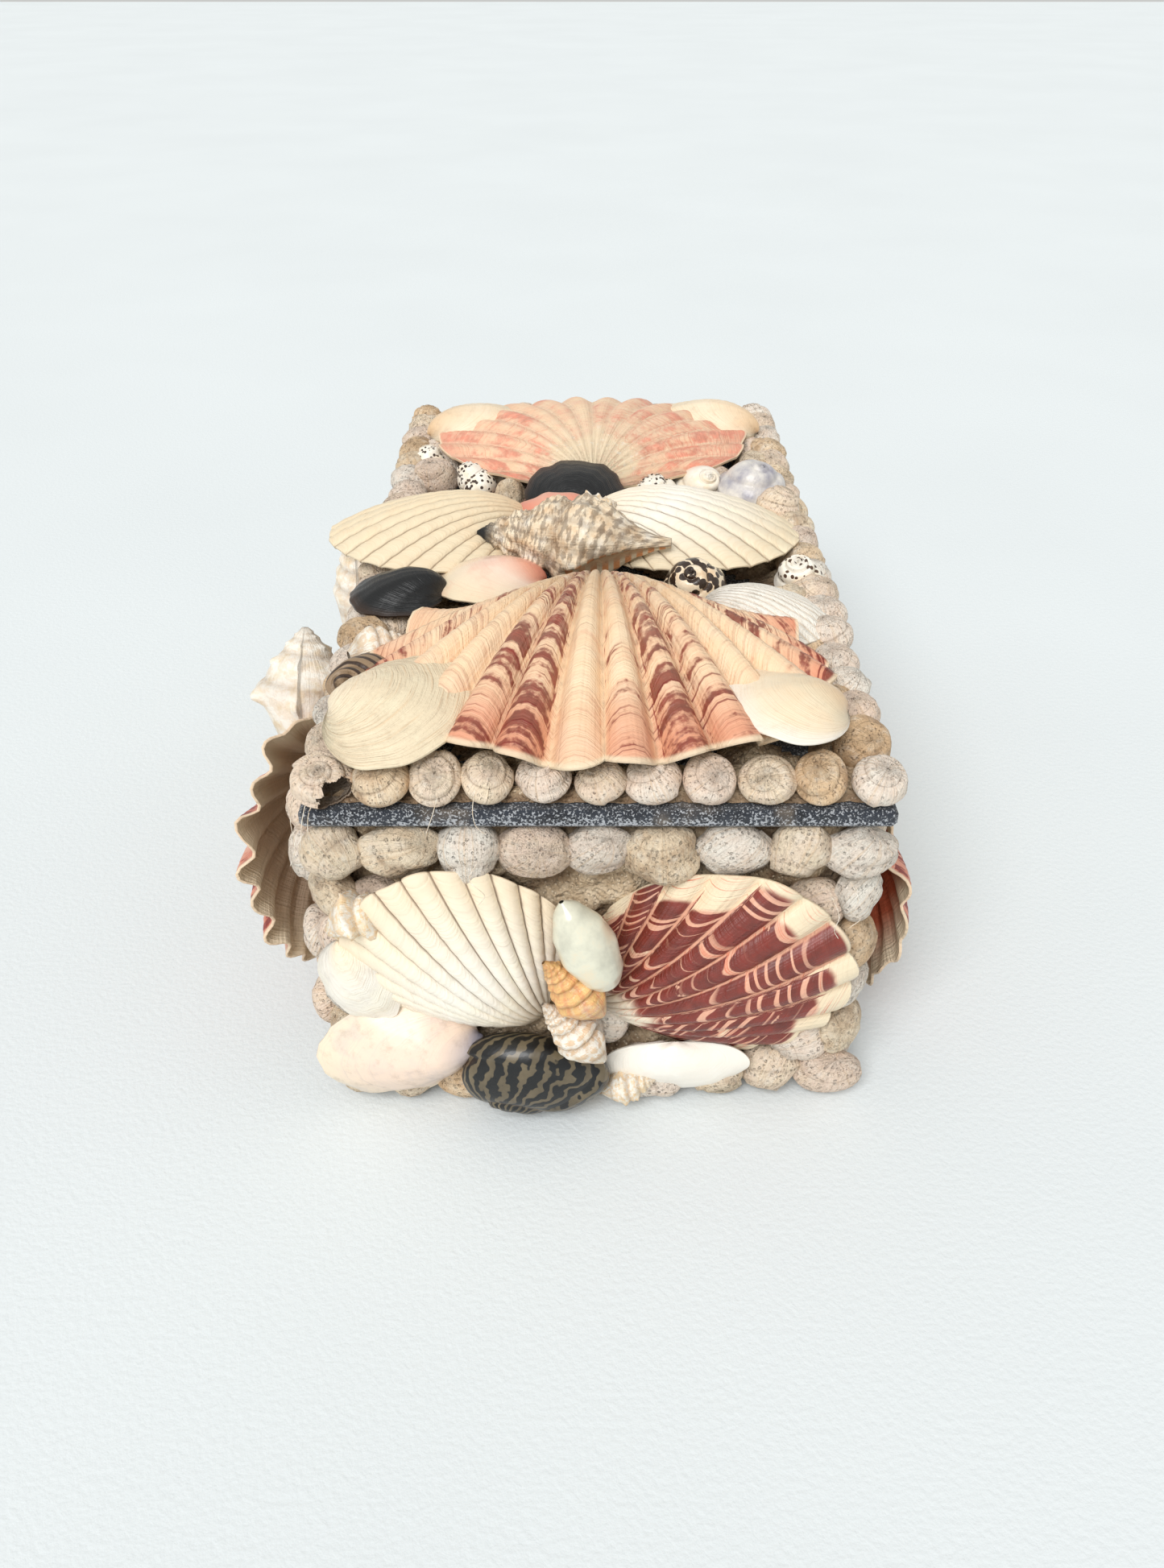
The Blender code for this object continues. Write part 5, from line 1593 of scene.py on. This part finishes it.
class LayBack(bpy.types.Operator):
    """Lays the shells on the back wall"""

    bl_idname = "shell_box.lay_back"
    bl_label = "Back wall"

    def execute(self, context):
        colours = context.scene.shell_box_colours
        half = HALF_WIDTH / PART
        scallop = side_scallop_finish("back wall scallop", colours, colours.chalk)
        clam = plain_clam_finish("back wall clam", colours, 0.35)
        lay_valve(
            "back_scallop", "scallop", scallop, seat(BACK_FACE, 0, 16, 180, lean_over(OVER, 48)), 56, 52, 1.7,
            stains=SIDE_STAINS, **SIDE_SCALLOP,
        )
        lay_valve(
            "back_clam_left", "cream", clam, seat(BACK_FACE, half - 12, 24, 192, 6, 0, 0.7 * OVER), 22, 30,
            1.6
        )
        lay_valve(
            "back_clam_right", "cream", clam, seat(BACK_FACE, 12 - half, 24, 168, 6, 0, 0.7 * OVER), 22, 30,
            1.6
        )
        return {"FINISHED"}


# Circles that the large shells take up on each wall: across, up and radius
KEEP_CLEAR = {
    "front": (
        (-29, 44, 25), (26, 40, 26), (-6, 55, 10), (-4, 35, 9), (-42, 22, 12), (-15, 16, 13), (20, 17, 14),
        (-49, 42, 9),
    ),
    "back": ((0, 42, 26), (35, 38, 15), (-35, 38, 15)),
    "left": (
        (77, 48, 27), (20, 40, 24), (-68, 41, 23), (39, 60, 13), (-28, 60, 8), (-28, 45, 7), (-28, 72, 5),
    ),
    "right": ((-74, 36, 26), (-36, 59, 16), (11, 42, 23), (63, 42, 26)),
}


def scatter(draw, count, low, high, clear, biggest, smallest):
    """Places from low to high as (across, up, radius), clear of the circles and each other, big first."""
    spots = []
    tries = 30 * count
    for attempt in range(tries):
        own = biggest - (biggest - smallest) * min(1, 2 * attempt / tries)
        across, up = draw.uniform(low[0], high[0]), draw.uniform(low[1], high[1])
        if any(math.hypot(across - x, up - y) < r + 0.7 * own for x, y, r in clear):
            continue
        if any(math.hypot(across - x, up - y) < 0.86 * (r + own) for x, y, r in spots):
            continue
        spots.append((across, up, own))
        if len(spots) == count:
            break
    return spots


class LayFillers(bpy.types.Operator):
    """Presses small snails and clams into the glue between the larger shells"""

    bl_idname = "shell_box.lay_fillers"
    bl_label = "Small shells in the gaps"

    def execute(self, context):
        sizes = context.scene.shell_box_sizes
        colours = context.scene.shell_box_colours
        finish = bleached_snail(colours, "tiny snail", spots=0.6, pits=1.2)
        # The brown dust colour in the grooves is painted shade as well as dust
        clam = valve_finish(
            "tiny clam", colours, ground=((0.1, colours.tan), (0.5, colours.bone), (1.0, colours.chalk)),
            inside=colours.chalk, groove=colours.grime_and_shade, groove_share=0.4, lines=40, line_share=0.3,
            line_colour=colours.tan, dust=0.25,
        )
        for wall, face in WALLS.items():
            draw = random.Random(seed_of(wall))
            half = (HALF_WIDTH if wall in ("front", "back") else HALF_LENGTH) / PART - 11
            count = sizes.filler_shells if wall in ("front", "back") else 2 * sizes.filler_shells
            snails, clams = Heap(), Heap()
            for across, up, own in scatter(draw, count, (-half, 17), (half, 61), KEEP_CLEAR[wall], 7.0, 4.0):
                if draw.random() < 0.3:
                    long = 2.1 * own
                    place = seat(face, across, up, draw.uniform(0, 360), lift=3.5)
                    place = place @ Matrix.Translation((0, long / 2 * PART, 0))
                    add_valve(
                        clams, place, 2.3 * own, long, draw.uniform(1.3, 1.7), fineness=0.5,
                        seed=draw.randrange(9999), ribs=draw.choice((0, 14, 18)), rib_height=0.5,
                        tint=draw.random(),
                    )
                    continue
                size = (2.2 * own, 2.2 * own * draw.uniform(0.8, 1.05), 2 * own * draw.uniform(0.6, 0.8))
                add_snail(
                    snails, seat(face, across, up, lift=draw.uniform(1.5, 2.5)), size, random_turn(draw, 60),
                    growth=draw.uniform(1.6, 2.4), tint=draw.random(), peak=draw.uniform(0.2, 1.0),
                    boxy=draw.uniform(0.65, 0.9), seed=draw.randrange(9999), rows=16, columns=22,
                )
            if wall == "left":
                for across, up, own in LEFT_CORNER_EXTRAS:
                    add_snail(
                        snails, seat(face, across, up, lift=5.5), (2.1 * own, 2.1 * own, 1.4 * own),
                        random_turn(draw, 60), tint=draw.uniform(0.5, 1), seed=draw.randrange(9999),
                    )
            snails.piece(f"tiny_shells_{wall}", finish, "snail")
            if clams.count:
                clams.piece(f"tiny_clams_{wall}", clam, "cream")
        heap = Heap()
        for across, up, wide, long, tall in LID_FILLERS:
            draw = random.Random(int(across * 7 + up * 13))
            add_snail(
                heap, seat(LID_FACE, across, up), (wide, long, tall), random_turn(draw, 50),
                growth=draw.uniform(1.7, 2.4), tint=draw.random(), peak=draw.uniform(0.2, 1.0),
                seed=draw.randrange(9999),
            )
        heap.piece("tiny_shells_lid", finish, "snail")
        return {"FINISHED"}


# More snails near the front corner of the left wall: across, up and half their width
LEFT_CORNER_EXTRAS = (
    (97, 60, 6.8), (88, 42, 6.0), (90, 26, 6.2), (101, 40, 5.8), (101, 74, 5.5), (100, 20, 6.0)
)
# Snails between the large shells of the lid: across, up, width, length and height
LID_FILLERS = (
    (-46.5, 52, 14, 14, 12), (-24, 37, 9, 9, 11), (37.5, 50, 9, 9, 10), (-50, -42, 12, 12, 9),
    (-46, -58, 11, 10, 7), (48, -52, 12, 11, 9), (47, -30, 11, 11, 9), (49, 4, 11, 11, 10),
    (-49, -94, 12, 11, 9), (49, 62, 12, 12, 10), (49, 78, 12, 12, 10), (-48, 86, 12, 12, 10),
    (48, 92, 12, 12, 10), (-50, -20, 11, 11, 9), (-47, 28, 12, 12, 9), (44, -64, 11, 11, 8),
    (50, -80, 12, 11, 9), (-44, 66, 11, 12, 9), (-50, 74, 11, 11, 9), (42, -73, 10, 10, 7),
)


class LayExtras(bpy.types.Operator):
    """Lays the speckled, knobby and banded little shells, and the loose threads"""

    bl_idname = "shell_box.lay_extras"
    bl_label = "Little shells and threads"

    def execute(self, context):
        sizes = context.scene.shell_box_sizes
        colours = context.scene.shell_box_colours
        pale = (colours.bone, colours.chalk, colours.ivory)
        speckled = coil_finish(
            "speckled little shell", colours, pale, spot=scaled(colours.umber_and_shade, 0.5), spot_size=760,
            spot_level=0.4, coat=0.2, rough=(0.35, 0.6),
        )
        heap = Heap()
        for across, up, wide, tall, peak in (
            (-34, 44, 12, 11, 0.8), (18, 36, 14, 11, 0.3), (-49, 63, 10, 10, 0.6), (-27, 51, 9, 8, 0.6)
        ):
            draw = random.Random(int(across * 5 + up * 11))
            add_snail(
                heap, seat(LID_FACE, across, up, lift=1), (wide, wide, tall), random_turn(draw, 35),
                growth=1.8, peak=peak, seam_depth=0.18, seed=draw.randrange(9999), rows=32, columns=44,
            )
        heap.piece("speckled_little_shells", speckled, "speckled")
        knobby = spindle_finish(
            "little whelk", colours, ground=(colours.ivory, colours.chalk, colours.chalk), dark=colours.amber,
            dark_share=0.55, rows=0.5, lip=colours.tan,
        )
        heap = Heap()
        add_spindle(
            heap, seat(LID_FACE, 0, -3, -52, lift=13), 15, 10, WHELK_PROFILE, shoulder=0.42, growth=1.7,
            seam_depth=0.26, knobs=7, knob_height=1.6, seed=5, sides=44,
        )
        add_spindle(
            heap, seat(FRONT_FACE, -48.5, 56.5, -62, lift=5), 16, 13, WHELK_PROFILE, shoulder=0.45,
            growth=1.6, seam_depth=0.26, knobs=8, knob_height=1.3, seed=6, sides=44, mouth=60,
        )
        add_spindle(
            heap, seat(FRONT_FACE, 7.5, 8, -70, lift=7), 13, 9, WHELK_PROFILE, shoulder=0.42, growth=1.6,
            seam_depth=0.24, knobs=7, knob_height=0.9, seed=7, sides=44,
        )
        heap.piece("little_whelks", knobby, "cream")
        rosy = valve_finish(
            "rosy little shell", colours,
            ground=((0.1, colours.coral), (0.5, colours.mauve), (1.0, colours.umber_and_shade)), inside=colours.mauve,
            lines=30, line_share=0.3, line_colour=colours.coral, dust=0.3,
        )
        heap = Heap()
        for across, up, spin, long in ((-57, -54, 150, 11), (-53, -60, 120, 11), (-22, 34, 200, 12)):
            add_valve(
                heap, seat(LID_FACE, across, up, spin, 6, 10, 4), long, long, 1.4, fineness=0.8,
                seed=int(long + abs(up))
            )
        heap.piece("rosy_little_shells", rosy, "pink")
        heap = Heap()
        for knots in THREADS:
            add_thread(heap, [[v * PART for v in knot] for knot in knots], sizes.thread_width)
        heap.piece("loose_threads", thread_finish(colours), "cream")
        return {"FINISHED"}


# Loose threads, each as a few points in parts of the box's width
THREADS = (
    ((-57, -113, 84), (-58, -115.5, 80), (-58.5, -116, 76), (-59.5, -115, 71)),
    ((-55, -113, 85), (-56.5, -116, 82), (-57, -116.5, 77), (-56, -116, 73)),
    ((-60, -111, 83), (-61, -113, 79), (-60, -115, 73), (-62, -114, 68)),
    ((-29, -108, 90), (-30.5, -114, 88), (-32, -117, 83), (-33.5, -118, 79)),
    ((-24, -113, 87), (-24.5, -116.5, 83), (-24, -117, 80), (-22, -117, 78)),
    ((50, -119, 68), (52, -121, 65), (50, -121.5, 62), (53, -121, 60), (51, -120, 57)),
    ((46, -120, 66), (48.5, -121.5, 61), (47.5, -121, 57), (49, -120, 54)),
    ((12, -27, 88), (10, -31, 91), (7, -33, 89), (9, -36, 86)),
    ((-24, -117, 71), (-26, -120, 69), (-22, -121, 66), (-24, -119, 62)),
)


# Where the camera stands, in metres, and the way the main light shines
CAMERA_PLACE = (-0.0032, -0.3225, 0.2286)
MAIN_LIGHT_WAY = (0.32, 0.84, -0.95)


class SetStage(bpy.types.Operator):
    """Sets the floor, the lights and the camera"""

    bl_idname = "shell_box.set_stage"
    bl_label = "Floor, lights and camera"

    def execute(self, context):
        stage = context.scene.shell_box_stage
        mix = Recipe("pale floor")
        weave = mix.noise(700, 3)
        shade = mix.noise(6, 2)
        colour = mix.ramp(shade, (0.3, scaled(stage.floor, 0.97)), (0.7, stage.floor))
        finish = mix.done(colour, spread(mix, weave, 0.75, 0.9), mix.bump(weave, 0.0002))
        mesh = bpy.data.meshes.new("floor")
        far = 4.0
        corners = [(x * far, y * far, 0) for x, y in ((-1, -1), (1, -1), (1, 1), (-1, 1))]
        mesh.from_pydata(corners, [], [(0, 1, 2, 3)])
        mesh.materials.append(finish)
        floor = bpy.data.objects.new("floor", mesh)
        context.scene.collection.objects.link(floor)

        world = bpy.data.worlds.new("soft sky")
        world.use_nodes = True
        sky = world.node_tree.nodes["Background"]
        sky.inputs["Color"].default_value = (*stage.sky, 1)
        sky.inputs["Strength"].default_value = stage.sky_strength
        context.scene.world = world

        lamp = bpy.data.lights.new("main light", "SUN")
        lamp.energy, lamp.angle = stage.key_strength, stage.key_width
        holder = bpy.data.objects.new("main light", lamp)
        holder.rotation_euler = Vector(MAIN_LIGHT_WAY).to_track_quat("-Z", "Y").to_euler()
        context.scene.collection.objects.link(holder)

        lens = bpy.data.cameras.new("camera")
        lens.lens, lens.sensor_width, lens.sensor_fit = stage.lens, 36.0, "AUTO"
        lens.clip_start, lens.clip_end = 0.01, 20.0
        camera = bpy.data.objects.new("camera", lens)
        camera.location = CAMERA_PLACE
        camera.rotation_euler = (stage.tilt, 0, 0)
        context.scene.collection.objects.link(camera)
        context.scene.camera = camera
        context.scene.view_settings.view_transform = "Standard"
        return {"FINISHED"}


OPERATORS = (
    BoardFinish, LayCrust, LaySnailRows, LayCorners, LayLidScallops, LayLidArks, LayLidClams, LayLidMiddle,
    LayLidSmall, LayFront, LayLeft, LayRight, LayBack, LayFillers, LayExtras, SetStage,
)


class ShellBoxPanel(bpy.types.Panel):
    """Lists the steps of the shell box"""

    bl_idname = "VIEW3D_PT_shell_box"
    bl_label = "Shell Box"
    bl_space_type = "VIEW_3D"
    bl_region_type = "UI"
    bl_category = "Shell Box"

    def draw(self, context):
        for step in OPERATORS:
            self.layout.operator(step.bl_idname)
        for group in (
            context.scene.shell_box_sizes, context.scene.shell_box_colours, context.scene.shell_box_stage
        ):
            box = self.layout.box()
            for name in group.bl_rna.properties.keys():
                if name not in ("rna_type", "name"):
                    box.prop(group, name)


GROUPS = (
    ("shell_box_sizes", ShellBoxSizes), ("shell_box_colours", ShellBoxColours),
    ("shell_box_stage", ShellBoxStage),
)


def register():
    for name, group in GROUPS:
        bpy.utils.register_class(group)
        setattr(bpy.types.Scene, name, PointerProperty(type=group))
    for made in (*OPERATORS, ShellBoxPanel):
        bpy.utils.register_class(made)


def unregister():
    for made in reversed((*OPERATORS, ShellBoxPanel)):
        bpy.utils.unregister_class(made)
    for name, group in reversed(GROUPS):
        delattr(bpy.types.Scene, name)
        bpy.utils.unregister_class(group)


def main():
    register()
    for step in OPERATORS:
        family, name = step.bl_idname.split(".")
        getattr(getattr(bpy.ops, family), name)()


if __name__ == "__main__":
    main()
